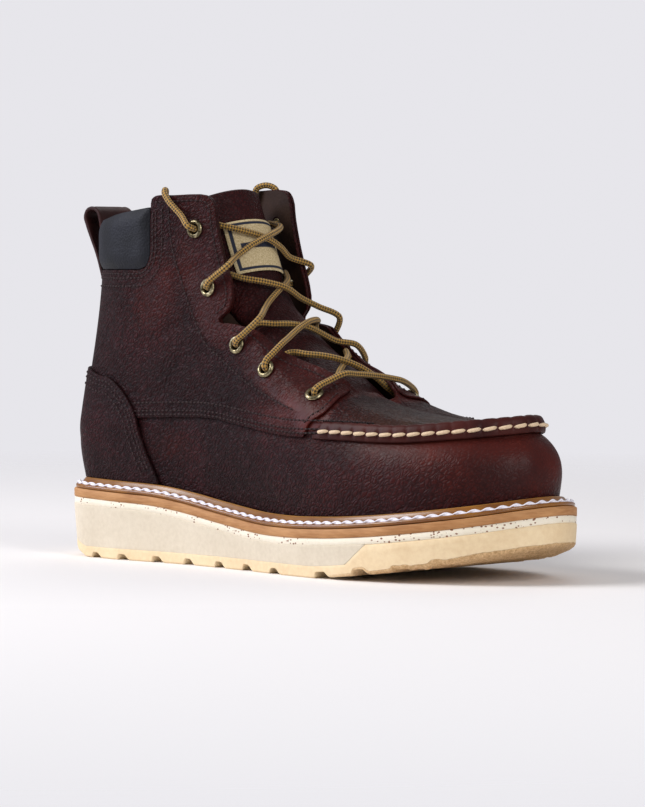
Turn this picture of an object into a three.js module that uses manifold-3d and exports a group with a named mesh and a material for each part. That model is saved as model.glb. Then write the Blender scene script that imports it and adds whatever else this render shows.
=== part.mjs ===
// A lace-up work boot for the right foot, with a moccasin toe and a wedge sole.
// Millimetres, +Z up, +X to the toe, +Y to the wearer's left, the boot's inner side.
// The origin is on the floor, under the middle of the heel's tread.
import * as THREE from "three";
import { mergeVertices } from "three/addons/utils/BufferGeometryUtils.js";
import Module from "manifold-3d";

const wasm = await Module();
wasm.setup();

// Driving sizes, in millimetres
const soleLength = 311; // outsole, heel to toe
const ballHalfWidth = 56; // outsole, at the ball of the foot
const heelOrigin = 40; // back of the sole to the middle of the heel
const heelPlatform = 36; // floor to the top of the midsole, at the heel
const toeHeight = 81; // floor to the top of the toe box
const shaftHeight = 189; // floor to the top of the outer lacing flap
const innerFlapRise = 3; // the inner flap stands this much higher
const innerInstepDrop = 4; // and the inner facing lies this much lower
const gap = 0.3; // between pieces that are stitched or glued together
const treadThickness = 6; // yellow tread under the wedge
const midsoleThickness = 4.4;
const speckledThickness = 3.4;
const weltReveal = 8.6; // sole's edge to the upper
const weltFlange = 2.3; // the welt's flat part, which the upper stands on
const weltLip = 5.6; // the welt's raised lip round the upper
const lipGap = 1.1; // the lip stands this far off the upper's foot
const liningWall = 1.8; // vamp and lining, the wall of the hollow upper
const panelThickness = 1.2; // quarter leather over the lining
const counterThickness = 1.5;
const padThickness = 3.2; // collar pad, at its crown
const insoleThickness = 4.5;
const tongueThickness = 3;
const patchThickness = 0.8;
const strapWidth = 25; // pull loop
const strapThickness = 1.9;
const eyeletOuter = 9.6; // diameters of an eyelet
const eyeletHole = 5;
const eyeletBarrel = 6;
const eyeletRim = 1;
const laceDiameter = 3.9;
const grooveDepth = 3.2; // between the tread's lugs
const grooveWidth = 5;

// Stations round the boot, from the back of the heel to the tip of the toe.
// Lengths are shares of the sole's length, half widths of the ball's half width,
// seam heights of the toe's height and top heights of the shaft's height.
// along, outer, inner: the sole's edge. seamIn, seamBack, seamUp: the seam that runs
// round the foot over the vamp, in from the sole's edge, back and up. topAlong, topOut,
// topUp: the edge of collar, facings and plug. The next four are the handles of the curve
// from the seam to the top: in and up at the seam, in and up at the top. The last one is how
// far the wall swells out below the seam.
const stationRows = [
  ["name", "along", "outer", "inner", "seamIn", "seamBack", "seamUp", "topAlong", "topOut", "topUp",
    "footIn", "footUp", "headIn", "headUp", "belly"],
  ["back", 0, 0, 0, -0.035, 0, 0.89, 0.040, 0, 0.942, 0.14, 0.47, 0.07, -0.47, 0.03],
  ["back corner", 0.035, 0.62, 0.60, -0.035, 0, 0.89, 0.053, 0.34, 0.947, 0.09, 0.47, 0.05, -0.47, 0.03],
  ["heel", 0.13, 0.73, 0.72, -0.04, 0, 0.89, 0.122, 0.58, 0.963, 0.04, 0.47, 0.02, -0.47, 0.02],
  ["heel breast", 0.22, 0.715, 0.69, -0.05, 0, 0.905, 0.19, 0.615, 0.99, 0.02, 0.47, 0, -0.47, 0.02],
  ["waist back", 0.30, 0.70, 0.66, -0.06, 0, 0.915, 0.257, 0.61, 1.02, 0.02, 0.49, 0, -0.49, 0.02],
  ["waist", 0.375, 0.73, 0.67, -0.05, 0.013, 0.915, 0.341, 0.54, 1.03, 0.02, 0.52, 0, -0.52, 0.03],
  ["waist front", 0.45, 0.78, 0.70, -0.03, 0.026, 0.89, 0.392, 0.465, 0.89, 0.02, 0.42, -0.02, -0.42, 0.04],
  ["ball back", 0.60, 0.93, 0.90, 0.04, 0.05, 0.84, 0.424, 0.44, 0.73, 0.02, 0.30, -0.05, -0.27, 0.06],
  ["ball", 0.70, 0.98, 0.96, 0.08, 0.045, 0.84, 0.514, 0.40, 0.588, 0.02, 0.20, -0.09, -0.16, 0.07],
  ["ball front", 0.82, 0.90, 0.91, 0.10, 0.026, 0.835, 0.609, 0.36, 0.514, 0.04, 0.12, -0.20, -0.15, 0.08],
  ["toe side", 0.92, 0.66, 0.73, 0.14, 0.01, 0.865, 0.635, 0.25, 0.487, 0.05, 0.11, -0.40, -0.17, 0.10],
  ["toe corner", 0.98, 0.30, 0.43, 0.16, 0, 0.89, 0.634, 0.125, 0.480, 0.05, 0.11, -0.60, -0.20, 0.11],
  ["toe", 1, 0, 0.06, 0.16, 0, 0.90, 0.632, 0, 0.478, 0.05, 0.11, -0.66, -0.21, 0.11],
];
// Side view of the sole: shares of its length, then of the heel's platform height.
const soleRows = [
  ["along", "tread", "platform"],
  [0, 0.15, 1],
  [0.05, 0.065, 0.992],
  [0.078, 0, 0.985],
  [0.16, 0, 0.96],
  [0.24, 0, 0.93],
  [0.32, 0, 0.85],
  [0.4, 0, 0.755],
  [0.5, 0, 0.663],
  [0.58, 0, 0.647],
  [0.64, 0, 0.663],
  [0.70, 0.04, 0.69],
  [0.78, 0.115, 0.747],
  [0.87, 0.22, 0.838],
  [0.94, 0.33, 0.93],
  [1, 0.43, 1.04],
];
// Bevel of the tread's lower edge: in from the sole's edge and up, in millimetres.
const bevelRows = [
  ["along", "inset", "rise"],
  [0, 6, 1.5],
  [0.12, 2.2, 1.2],
  [0.6, 1.6, 1.2],
  [0.8, 3, 2.2],
  [0.94, 9, 4.2],
  [1, 12, 4.6],
];
// Outer edge of the leather in the side view, from the collar's back to the front of the
// quarter: shares of the sole's length and of the shaft's height.
const collarEdge = [[0.02, 0.93], [0.09, 0.936], [0.15, 0.952], [0.2205, 0.967]];
const flapEdge = [[0.222, 0.985], [0.231, 0.996], [0.275, 0.998], [0.324, 0.999], [0.343, 0.992],
  [0.3545, 0.968], [0.359, 0.924], [0.369, 0.861], [0.381, 0.804], [0.3925, 0.757], [0.3965, 0.722],
  [0.393, 0.692], [0.378, 0.668], [0.3745, 0.660], [0.378, 0.655]];
const facingEdge = [[0.404, 0.652], [0.447, 0.637], [0.471, 0.612], [0.496, 0.585], [0.534, 0.559],
  [0.573, 0.540], [0.609, 0.517], [0.6275, 0.498]];
const lobeEdge = [[0.6365, 0.478], [0.638, 0.452], [0.632, 0.426], [0.616, 0.407], [0.606, 0.391],
  [0.600, 0.364], [0.585, 0.349]];
const padFrontAlong = 0.2215;
const padLowUp = 0.795;
// Front edge of the heel counter, up and forward: shares as above.
const counterEdge = [[0.02, 0.533], [0.06, 0.522], [0.095, 0.505], [0.126, 0.497], [0.156, 0.468],
  [0.178, 0.432], [0.192, 0.394], [0.199, 0.350], [0.211, 0.300], [0.225, 0.252], [0.238, 0.2]];
// Eyelets from the top down: shares of the sole's length and of the shaft's height.
const eyeletPlaces = [[0.317, 0.906], [0.350, 0.748], [0.4195, 0.596], [0.492, 0.534], [0.597, 0.471]];
// The tongue's ridge and section: along and up as above, width and drop of its sides in
// shares of the ball's half width.
const tongueRows = [
  ["along", "up", "halfWidth", "drop"],
  [0.668, 0.402, 0.32, 0.05],
  [0.635, 0.428, 0.32, 0.06],
  [0.60, 0.470, 0.33, 0.07],
  [0.545, 0.538, 0.34, 0.10],
  [0.490, 0.600, 0.35, 0.15],
  [0.435, 0.675, 0.37, 0.22],
  [0.395, 0.755, 0.39, 0.30],
  [0.372, 0.845, 0.41, 0.36],
  [0.352, 0.935, 0.41, 0.38],
  [0.332, 1.018, 0.40, 0.36],
];

function table(rows) {
  const names = rows[0];
  return rows.slice(1).map((row) => Object.fromEntries(row.map((value, i) => [names[i], value])));
}
const stations = table(stationRows);
const soleProfile = table(soleRows);
const bevelProfile = table(bevelRows);
const tongueSections = table(tongueRows);
const turn = 2 * (stations.length - 1); // stations in a whole turn of the boot

const alongX = (share) => share * soleLength - heelOrigin;
const upZ = (share) => share * shaftHeight;
const clamp01 = (value) => Math.min(1, Math.max(0, value));
// How far a point of the inner side lies above its fellow on the outer side.
function innerShift(up) {
  const flap = clamp01((up - 0.66) * 6);
  const instep = clamp01((0.62 - up) * 8) * clamp01((up - 0.38) * 10);
  return innerFlapRise * flap - innerInstepDrop * instep;
}
const sideShift = (up, side) => (side > 0 ? innerShift(up) : 0);

// A smooth value between the rows of a profile table.
function between(profile, column, share) {
  const points = profile.map((row) => new THREE.Vector2(row.along, row[column]));
  let i = 0;
  while (i < points.length - 2 && share > points[i + 1].x) i += 1;
  const [a, b] = [points[i], points[i + 1]];
  const slope = (p, q) => (q.y - p.y) / (q.x - p.x);
  const before = i > 0 ? slope(points[i - 1], b) : slope(a, b);
  const after = i < points.length - 2 ? slope(a, points[i + 2]) : slope(a, b);
  const level = a.y === b.y ? 0 : 1; // a flat stretch stays flat
  const width = b.x - a.x;
  const u = clamp01((share - a.x) / width);
  const h = (1 - u) * (1 - u);
  return (1 + 2 * u) * h * a.y + u * h * width * before * level
    + u * u * (3 - 2 * u) * b.y - u * u * (1 - u) * width * after * level;
}
const treadZ = (x) => heelPlatform * between(soleProfile, "tread", (x + heelOrigin) / soleLength);
const platformZ = (x) => heelPlatform * between(soleProfile, "platform", (x + heelOrigin) / soleLength);

// Closed curves through the stations: the outer side first, then the inner side back.
function roundCurve(pointOf) {
  const points = [];
  const last = stations.length - 1;
  for (let i = 0; i <= last; i += 1) points.push(pointOf(stations[i], i === 0 ? 0 : -1));
  for (let i = last - 1; i > 0; i -= 1) points.push(pointOf(stations[i], 1));
  return new THREE.CatmullRomCurve3(points, true, "centripetal");
}
const edgeCurve = roundCurve((row, side) => new THREE.Vector3(
  alongX(row.along),
  ballHalfWidth * (row.name === "toe" ? row.inner : side < 0 ? -row.outer : side * row.inner),
  0,
));
const at = (curve, t) => curve.getPoint((((t % turn) + turn) % turn) / turn);

// Inward direction in plan, square to the sole's edge.
function inward(t) {
  const step = 0.02;
  const along = at(edgeCurve, t + step).sub(at(edgeCurve, t - step));
  return new THREE.Vector3(-along.y, along.x, 0).normalize();
}
function solePoint(t, inset, zOf) {
  const point = at(edgeCurve, t).addScaledVector(inward(t), inset);
  point.z = zOf(point.x);
  return point;
}
const platform = (t, inset) => solePoint(t, inset, platformZ);

// A value of the stations' table, smooth from row to row.
const columnCurves = {};
function column(name, t) {
  columnCurves[name] ??= roundCurve((row) => new THREE.Vector3(row[name], 0, 0));
  return at(columnCurves[name], t).x;
}
const featherIn = weltReveal - panelThickness - gap;
const seamCurve = roundCurve((row, side) => {
  const t = side <= 0 ? stations.indexOf(row) : turn - stations.indexOf(row);
  const point = platform(t, featherIn + row.seamIn * ballHalfWidth);
  point.x -= row.seamBack * soleLength;
  point.z = row.seamUp * toeHeight;
  return point;
});
const topCurve = roundCurve((row, side) => new THREE.Vector3(
  alongX(row.topAlong),
  side * row.topOut * ballHalfWidth,
  upZ(row.topUp) + sideShift(row.topUp, side),
));

// The wall swells out between welt and seam, fullest a little above its middle.
const swellLow = 1.4;
const swellHigh = 0.9;
const swellPeak = Math.pow(swellLow / (swellLow + swellHigh), swellLow)
  * Math.pow(swellHigh / (swellLow + swellHigh), swellHigh);
// The boot's outer surface: t goes round, v is 0 at the welt, 1 at the seam, 2 at the top.
function surface(t, v) {
  const foot = platform(t, featherIn);
  foot.z += gap + weltFlange + gap;
  const seam = at(seamCurve, t);
  const into = inward(t);
  if (v <= 1) {
    const swell = Math.pow(v, swellLow) * Math.pow(1 - v, swellHigh) / swellPeak;
    return foot.lerp(seam, v).addScaledVector(into, -swell * column("belly", t) * ballHalfWidth);
  }
  const top = at(topCurve, t);
  const handle = (end, inName, upName) => end.clone()
    .addScaledVector(into, column(inName, t) * ballHalfWidth)
    .add(new THREE.Vector3(0, 0, column(upName, t) * toeHeight));
  const a = handle(seam, "footIn", "footUp");
  const b = handle(top, "headIn", "headUp");
  return new THREE.CubicBezierCurve3(seam, a, b, top).getPoint(v - 1);
}
function surfaceNormal(t, v) {
  const step = 0.03;
  const low = Math.max(0, v - step);
  const high = Math.min(2, v + step);
  const round = surface(t + step, v).sub(surface(t - step, v));
  return round.cross(surface(t, high).sub(surface(t, low))).normalize();
}
// A point off the surface; above the top edge and below the foot it goes straight on.
function offSurface(t, v, off) {
  const within = Math.min(2, Math.max(0, v));
  const point = surface(t, within).addScaledVector(surfaceNormal(t, within), off);
  if (v !== within) {
    const reach = 0.1;
    const inside = Math.min(2 - reach, Math.max(reach, within));
    const direction = surface(t, within).sub(surface(t, inside));
    point.addScaledVector(direction, Math.abs(v - within) / reach);
  }
  return point;
}

// Solids from points and triangles, turned so that their faces point out
function solidOf(points, faces) {
  const volume = faces.reduce((sum, [a, b, c]) => (
    sum + points[a].dot(points[b].clone().cross(points[c]))), 0);
  const turned = volume < 0 ? faces.map(([a, b, c]) => [a, c, b]) : faces;
  return new wasm.Manifold(new wasm.Mesh({
    numProp: 3,
    vertProperties: new Float32Array(points.flatMap((p) => [p.x, p.y, p.z])),
    triVerts: new Uint32Array(turned.flat()),
  }));
}
// Rings of points that go round the boot. A capped stack is closed at both ends by strips
// across it; another one closes from its last ring to its first.
function ringSolid(rings, capped) {
  const n = rings[0].length;
  const faces = [];
  const join = (i, j) => {
    for (let k = 0; k < n; k += 1) {
      const next = (k + 1) % n;
      faces.push([i * n + k, i * n + next, j * n + next], [i * n + k, j * n + next, j * n + k]);
    }
  };
  for (let i = 0; i + 1 < rings.length; i += 1) join(i, i + 1);
  if (!capped) {
    join(rings.length - 1, 0);
    return solidOf(rings.flat(), faces);
  }
  for (const [base, flip] of [[0, true], [(rings.length - 1) * n, false]]) {
    for (let k = 0; k < n / 2; k += 1) {
      const [a, b] = [base + k, base + k + 1];
      const [c, d] = [base + ((n - k) % n), base + n - k - 1];
      const strip = [];
      if (a !== c) strip.push([a, b, c]);
      if (b !== d) strip.push([b, d, c]);
      faces.push(...(flip ? strip.map(([p, q, r]) => [p, r, q]) : strip));
    }
  }
  return solidOf(rings.flat(), faces);
}
// A patch with two faces: front(i, j) and rear(i, j) give the points of its grid.
function patchSolid(rows, columns, front, rear) {
  const points = [];
  const index = (face, i, j) => (face * (rows + 1) + i) * (columns + 1) + j;
  for (const side of [front, rear]) {
    for (let i = 0; i <= rows; i += 1) {
      for (let j = 0; j <= columns; j += 1) points.push(side(i / rows, j / columns));
    }
  }
  const faces = [];
  const quad = (a, b, c, d) => faces.push([a, b, c], [a, c, d]);
  for (let i = 0; i < rows; i += 1) {
    for (let j = 0; j < columns; j += 1) {
      quad(index(0, i, j), index(0, i, j + 1), index(0, i + 1, j + 1), index(0, i + 1, j));
      quad(index(1, i, j), index(1, i + 1, j), index(1, i + 1, j + 1), index(1, i, j + 1));
    }
  }
  for (let i = 0; i < rows; i += 1) {
    quad(index(0, i, 0), index(0, i + 1, 0), index(1, i + 1, 0), index(1, i, 0));
    quad(index(0, i, columns), index(1, i, columns), index(1, i + 1, columns), index(0, i + 1, columns));
  }
  for (let j = 0; j < columns; j += 1) {
    quad(index(0, 0, j), index(1, 0, j), index(1, 0, j + 1), index(0, 0, j + 1));
    quad(index(0, rows, j), index(0, rows, j + 1), index(1, rows, j + 1), index(1, rows, j));
  }
  return solidOf(points, faces);
}
function fromGeometry(geometry) {
  geometry.deleteAttribute("normal");
  geometry.deleteAttribute("uv");
  const merged = mergeVertices(geometry, 1e-4);
  return new wasm.Manifold(new wasm.Mesh({
    numProp: 3,
    vertProperties: new Float32Array(merged.attributes.position.array),
    triVerts: new Uint32Array(merged.index.array),
  }));
}
// A prism across the boot, from an outline in the side view given in x and z.
function sidePrism(outline, fromY, toY) {
  const shape = new THREE.Shape(outline.map(([x, z]) => new THREE.Vector2(x, z)));
  const geometry = new THREE.ExtrudeGeometry(shape, { depth: toY - fromY, bevelEnabled: false });
  geometry.rotateX(Math.PI / 2).translate(0, toY, 0);
  return fromGeometry(geometry);
}
function largest(solid) {
  return solid.decompose().reduce((a, b) => (a.volume() > b.volume() ? a : b));
}

const boot = new THREE.Group();
function add(name, solid, colour, roughness, metalness = 0) {
  const { vertProperties, triVerts } = solid.getMesh();
  const geometry = new THREE.BufferGeometry();
  geometry.setAttribute("position", new THREE.Float32BufferAttribute(vertProperties, 3));
  geometry.setIndex(Array.from(triVerts));
  const material = new THREE.MeshStandardMaterial({ color: colour, roughness, metalness });
  const mesh = new THREE.Mesh(geometry, material);
  mesh.name = name;
  boot.add(mesh);
}

// Sole, from the floor up. Each layer is a slab between two rings.
const soleSteps = Array.from({ length: 2 * turn }, (_, i) => i / 2);
const soleRing = (insetOf, zOf) => soleSteps.map((t) => {
  const inset = typeof insetOf === "number" ? insetOf : insetOf(t);
  return solePoint(t, inset, (x) => zOf(x, t));
});
const midsoleLow = (x) => platformZ(x) - midsoleThickness;
const speckledLow = (x) => midsoleLow(x) - gap - speckledThickness;
const bevel = (name, t) => {
  const share = clamp01((at(edgeCurve, t).x + heelOrigin) / soleLength);
  return between(bevelProfile, name, share);
};
const tuck = (t) => 0.35 * bevel("inset", t); // the wall leans in to the tread at heel and toe
const block = ringSolid([
  soleRing((t) => bevel("inset", t), (x) => treadZ(x)),
  soleRing(tuck, (x, t) => treadZ(x) + bevel("rise", t)),
  soleRing(0, (x) => speckledLow(x) - gap),
], true);
// The wedge lies on the tread and ends in a slanted joint at the ball of the foot.
const jointLow = alongX(0.722);
const jointHigh = alongX(0.762);
const beyond = 30;
function wedgeOutline(grow) {
  const outline = [[-heelOrigin - beyond, shaftHeight]];
  for (let share = -0.1; share < 0.72; share += 0.04) {
    const x = alongX(share);
    outline.push([x, treadZ(Math.max(x, -heelOrigin)) + treadThickness - grow]);
  }
  outline.push([jointLow + grow, treadZ(jointLow) + treadThickness - grow]);
  outline.push([jointHigh + grow, speckledLow(jointHigh) + 1]);
  outline.push([jointHigh + grow, shaftHeight]);
  return outline;
}
const wedge = block.intersect(sidePrism(wedgeOutline(0), -beyond * 3, beyond * 3));
const treadBody = block.subtract(sidePrism(wedgeOutline(gap), -beyond * 3, beyond * 3));
// Grooves cross the tread in a shallow chevron and open as notches in its side.
const grooveShares = [0.045, 0.09, 0.176, 0.25, 0.324, 0.398, 0.472, 0.546, 0.64, 0.714, 0.788, 0.862];
function groove(share) {
  const x = alongX(share);
  const reach = ballHalfWidth * 1.1;
  const point = grooveWidth * 1.2;
  const half = grooveWidth / 2;
  const shape = new THREE.Shape([
    [x - half, -reach], [x + half, -reach], [x + half + point, 0], [x + half, reach],
    [x - half, reach], [x - half + point, 0],
  ].map(([a, b]) => new THREE.Vector2(a, b)));
  const geometry = new THREE.ExtrudeGeometry(shape, { depth: beyond, bevelEnabled: false });
  geometry.translate(0, 0, treadZ(x) + grooveDepth - beyond);
  return fromGeometry(geometry);
}
const tread = grooveShares.reduce((solid, share) => solid.subtract(groove(share)), treadBody);
add("outsole", largest(tread), 0xecd3a2, 0.75);
add("wedge", largest(wedge), 0xe6dccb, 0.8);
add("speckled_layer", ringSolid([
  soleRing(0.2, speckledLow),
  soleRing(0.2, (x) => midsoleLow(x) - gap),
], true), 0xe0d3bb, 0.8);
add("midsole", ringSolid([
  soleRing(0, midsoleLow),
  soleRing(0, platformZ),
], true), 0xb07c56, 0.7);

// The welt: a flange under the upper and a raised lip round it, with a sloped face.
const weltRing = (inset, up) => soleSteps.map((t) => {
  const point = platform(t, inset);
  point.z += gap + up;
  return point;
});
const weltInner = weltReveal + liningWall + gap;
add("welt", ringSolid([
  weltRing(weltInner, 0),
  weltRing(1, 0),
  weltRing(0.9, weltFlange * 0.8),
  weltRing(3.2, weltFlange),
  weltRing(weltReveal - lipGap - 1.3, weltLip),
  weltRing(weltReveal - lipGap, weltLip),
  weltRing(weltReveal - lipGap, weltFlange),
  weltRing(weltInner, weltFlange),
], false), 0x7c5225, 0.35);
add("insole", ringSolid([
  soleRing(weltInner + 0.4, (x) => platformZ(x) + gap),
  soleRing(weltInner + 0.4, (x) => platformZ(x) + gap + insoleThickness),
], true), 0x5b4a3c, 0.9);

// The upper: one hollow wall from the welt to the collar, the facings and the plug.
const upperSteps = Array.from({ length: 2 * turn }, (_, i) => i / 2);
const upperRing = (v, off) => upperSteps.map((t) => offSurface(t, v, off));
const liningOut = -(panelThickness + gap);
const liningIn = liningOut - liningWall;
const footHeights = [0, 0.3, 0.65];
const panelHeights = [1, 1.1, 1.25, 1.45, 1.65, 1.82, 2];
const innerHeights = [2, 1.82, 1.5, 1.2, 1, 0.5, 0];
const wall = ringSolid([
  ...[...footHeights, ...panelHeights].map((v) => upperRing(v, liningOut)),
  ...innerHeights.map((v) => upperRing(v, liningIn)),
], false);
// What the collar, flaps and facings leave open, cut in the side view.
const toSide = ([share, up], side = -1) => [alongX(share), upZ(up) + sideShift(up, side)];
const sideLine = (points, side) => points.map((point) => toSide(point, side));
const topEdge = (side) => [
  ...sideLine(collarEdge, -1), ...sideLine(flapEdge, side), ...sideLine(facingEdge, side),
];
const throatHalf = 0.2 * ballHalfWidth; // the plug's middle is not cut
function openingCut(side, fromY, toY) {
  const edge = topEdge(side);
  const [lastX] = edge.at(-1);
  const [, firstZ] = edge[0];
  const high = shaftHeight + beyond * 2;
  return sidePrism([
    [-heelOrigin - beyond, firstZ], ...edge, [lastX + 1, high], [-heelOrigin - beyond, high],
  ], fromY, toY);
}
const sideReach = ballHalfWidth * 1.5;
let upper = wall
  .subtract(openingCut(-1, -sideReach, -throatHalf))
  .subtract(openingCut(1, throatHalf, sideReach))
  .subtract(sidePrism([
    [-heelOrigin - beyond, toSide(collarEdge[0])[1]], ...sideLine(collarEdge.slice(0, 2), -1),
    [alongX(collarEdge[1][0]), shaftHeight * 2], [-heelOrigin - beyond, shaftHeight * 2],
  ], -sideReach, sideReach));

// Where a point of the side view lies on the boot's surface, found by small steps.
function onSide(x, z, side) {
  const centre = side < 0 ? turn * 0.3 : turn * 0.7;
  let best = { t: centre, v: 1.5, miss: Infinity };
  let reach = { t: turn * 0.2, v: 0.5 };
  for (let round = 0; round < 14; round += 1) {
    const from = best;
    for (let i = -4; i <= 4; i += 1) {
      for (let j = -4; j <= 4; j += 1) {
        const t = from.t + (i / 4) * reach.t;
        const v = Math.min(2, Math.max(1, from.v + (j / 4) * reach.v));
        const point = surface(t, v);
        const miss = Math.hypot(point.x - x, point.z - z);
        if (miss < best.miss) best = { t, v, miss };
      }
    }
    reach = { t: reach.t * 0.55, v: reach.v * 0.55 };
  }
  return { point: surface(best.t, best.v), normal: surfaceNormal(best.t, best.v) };
}
const eyelets = {};
for (const [sideName, side] of [["outer", -1], ["inner", 1]]) {
  eyeletPlaces.forEach((place, i) => {
    const [x, z] = toSide(place, side);
    eyelets[`${sideName}_${i + 1}`] = onSide(x, z, side);
  });
}
const holeClearance = 0.5;
function eyeletFrame({ point, normal }) {
  const frame = new THREE.Object3D();
  frame.position.copy(point);
  frame.quaternion.setFromUnitVectors(new THREE.Vector3(0, 1, 0), normal);
  frame.updateMatrix();
  return frame.matrix;
}
function eyeletHoleCut(place) {
  const depth = 14;
  const geometry = new THREE.CylinderGeometry(
    eyeletBarrel / 2 + holeClearance, eyeletBarrel / 2 + holeClearance, depth, 8);
  return fromGeometry(geometry.applyMatrix4(eyeletFrame(place)));
}
const eyeletCuts = Object.values(eyelets).map(eyeletHoleCut);
const pierced = (solid) => eyeletCuts.reduce((rest, cut) => rest.subtract(cut), solid);
upper = largest(pierced(upper));
add("upper", upper, 0x42221e, 0.45);

// A shell over part of the surface, between two offsets, on the same grid as the upper.
function steps(from, to, step = 0.5) {
  return Array.from({ length: Math.round((to - from) / step) + 1 }, (_, i) => from + i * step);
}
function shell(rounds, levels, inner, outer) {
  const place = (off) => (i, j) => {
    const t = rounds[Math.round(j * (rounds.length - 1))];
    const v = levels[Math.round(i * (levels.length - 1))];
    return offSurface(t, v, typeof off === "number" ? off : off(t, v));
  };
  return patchSolid(levels.length - 1, rounds.length - 1, place(outer), place(inner));
}
// Quarters: the leather of shaft and facings, over the lining, one on each side.
const overTop = 2.06;
const quarterEnd = 9.5; // the station that the quarter's front stays short of
function quarter(side) {
  const rounds = side < 0 ? steps(0, quarterEnd) : steps(turn - quarterEnd, turn);
  const skin = shell(rounds, [...panelHeights, overTop], liningOut + gap, 0);
  const edge = [
    [-heelOrigin - beyond, upZ(padLowUp)],
    [alongX(padFrontAlong) - 9, upZ(padLowUp)],
    [alongX(padFrontAlong) - 3, upZ(padLowUp) + 1.5],
    [alongX(padFrontAlong), upZ(padLowUp) + 7],
    ...topEdge(side).slice(collarEdge.length),
    ...sideLine(lobeEdge, side),
    [alongX(0.585), 0],
    [-heelOrigin - beyond, 0],
  ];
  const half = gap / 2;
  const keep = side < 0 ? sidePrism(edge, -sideReach, -half) : sidePrism(edge, half, sideReach);
  return largest(pierced(skin.intersect(keep)));
}
add("quarter_lateral", quarter(-1), 0x46231f, 0.42);
add("quarter_medial", quarter(1), 0x46231f, 0.42);

// Heel counter over quarters and vamp, down to the welt's lip.
const counterRounds = steps(-3.5, 3.5);
const counterLevels = [0.16, 0.3, 0.65, 0.86, 0.93, 1, 1.1, 1.25, 1.45];
const counterSkin = shell(
  counterRounds, counterLevels,
  (t, v) => (v < 0.9 ? liningOut + gap : gap),
  (t, v) => gap + counterThickness - panelThickness * clamp01((1 - v) / 0.3),
);
const counterKeep = sidePrism([
  [-heelOrigin - beyond, toSide(counterEdge[0])[1]],
  ...sideLine(counterEdge, -1),
  [alongX(0.238), 0],
  [-heelOrigin - beyond, 0],
], -sideReach, sideReach);
add("heel_counter", largest(counterSkin.intersect(counterKeep)), 0x3a1e1b, 0.45);

// Collar pad round the back of the shaft.
const padCrown = (v) => liningOut + gap + padThickness
  * Math.sqrt(clamp01(1 - Math.pow(Math.abs(v - 1.85) / 0.22, 3)));
const padSkin = shell(
  steps(-5.5, 5.5), [1.65, 1.72, 1.82, 1.92, 2, overTop], liningOut + gap, (t, v) => padCrown(v));
const padKeep = sidePrism([
  [-heelOrigin - beyond, upZ(padLowUp) + gap],
  [alongX(padFrontAlong) - 9.3, upZ(padLowUp) + gap],
  [alongX(padFrontAlong) - 3.3, upZ(padLowUp) + 1.5 + gap],
  [alongX(padFrontAlong) - gap, upZ(padLowUp) + 7],
  ...sideLine(collarEdge.toReversed(), -1),
  [-heelOrigin - beyond, toSide(collarEdge[0])[1]],
], -sideReach, sideReach);
add("collar_pad", largest(padSkin.intersect(padKeep)), 0x2c2d33, 0.8);

// A bar swept through sections, closed by a fan at each end.
function sweptSolid(sections) {
  const n = sections[0].length;
  const faces = [];
  for (let i = 0; i + 1 < sections.length; i += 1) {
    for (let k = 0; k < n; k += 1) {
      const next = (k + 1) % n;
      const [a, b] = [i * n, (i + 1) * n];
      faces.push([a + k, a + next, b + next], [a + k, b + next, b + k]);
    }
  }
  const last = (sections.length - 1) * n;
  for (let k = 1; k + 1 < n; k += 1) faces.push([0, k + 1, k], [last, last + k, last + k + 1]);
  return solidOf(sections.flat(), faces);
}
// The raised seam of the moccasin toe, from one quarter's front round the toe to the other.
const lipSection = [[-1.1, 0.2], [0.9, 0.5], [0.6, 3.6], [-0.6, 6.8], [-2, 8.2], [-4.2, 7.4], [-5, 4.8]];
function seamAtX(x, low, high) {
  let [a, b] = [low, high];
  const risesWith = at(seamCurve, high).x > at(seamCurve, low).x;
  for (let i = 0; i < 30; i += 1) {
    const middle = (a + b) / 2;
    if ((at(seamCurve, middle).x < x) === risesWith) a = middle;
    else b = middle;
  }
  return a;
}
const lipStartX = alongX(lobeEdge.at(-2)[0]) + 5.5; // just ahead of the quarter's front
const lipFrom = seamAtX(lipStartX, 5, 10);
const lipTo = seamAtX(lipStartX, turn - 10, turn - 5);
const lipSteps = 26;
const lip = sweptSolid(Array.from({ length: lipSteps + 1 }, (_, i) => {
  const t = lipFrom + ((lipTo - lipFrom) * i) / lipSteps;
  const into = inward(t);
  return lipSection.map(([out, up]) => at(seamCurve, t)
    .addScaledVector(into, -out).add(new THREE.Vector3(0, 0, up)));
}));
const upperBody = ringSolid(
  [...footHeights, ...panelHeights].map((v) => upperRing(v, liningOut + gap)), true);
add("moccasin_seam", largest(lip.subtract(upperBody)), 0x57251d, 0.4);

// Tongue: a leather sheet bowed over the instep, under plug and facings.
const ridge = new THREE.CatmullRomCurve3(tongueSections.map((row) => (
  new THREE.Vector3(alongX(row.along), 0, upZ(row.up)))), false, "centripetal");
const tongueSize = new THREE.CatmullRomCurve3(tongueSections.map((row) => (
  new THREE.Vector3(row.halfWidth, row.drop, 0).multiplyScalar(ballHalfWidth))), false, "centripetal");
const bow = THREE.MathUtils.degToRad(80);
function tonguePoint(s, across, off = 0) {
  const centre = ridge.getPoint(s);
  const along = ridge.getTangent(s);
  const out = new THREE.Vector3(along.z, 0, -along.x);
  const size = tongueSize.getPoint(s);
  const angle = across * bow;
  const y = ((size.x + off) * Math.sin(angle)) / Math.sin(bow);
  const drop = (size.y * (1 - Math.cos(angle))) / (1 - Math.cos(bow));
  return centre.addScaledVector(out, off - drop).add(new THREE.Vector3(0, y, 0));
}
const tongueRowsCount = 14;
add("tongue", patchSolid(
  tongueRowsCount, 8,
  (i, j) => tonguePoint(i, 2 * j - 1),
  (i, j) => tonguePoint(i, 2 * j - 1, -tongueThickness),
), 0x3a1e1c, 0.5);
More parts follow.
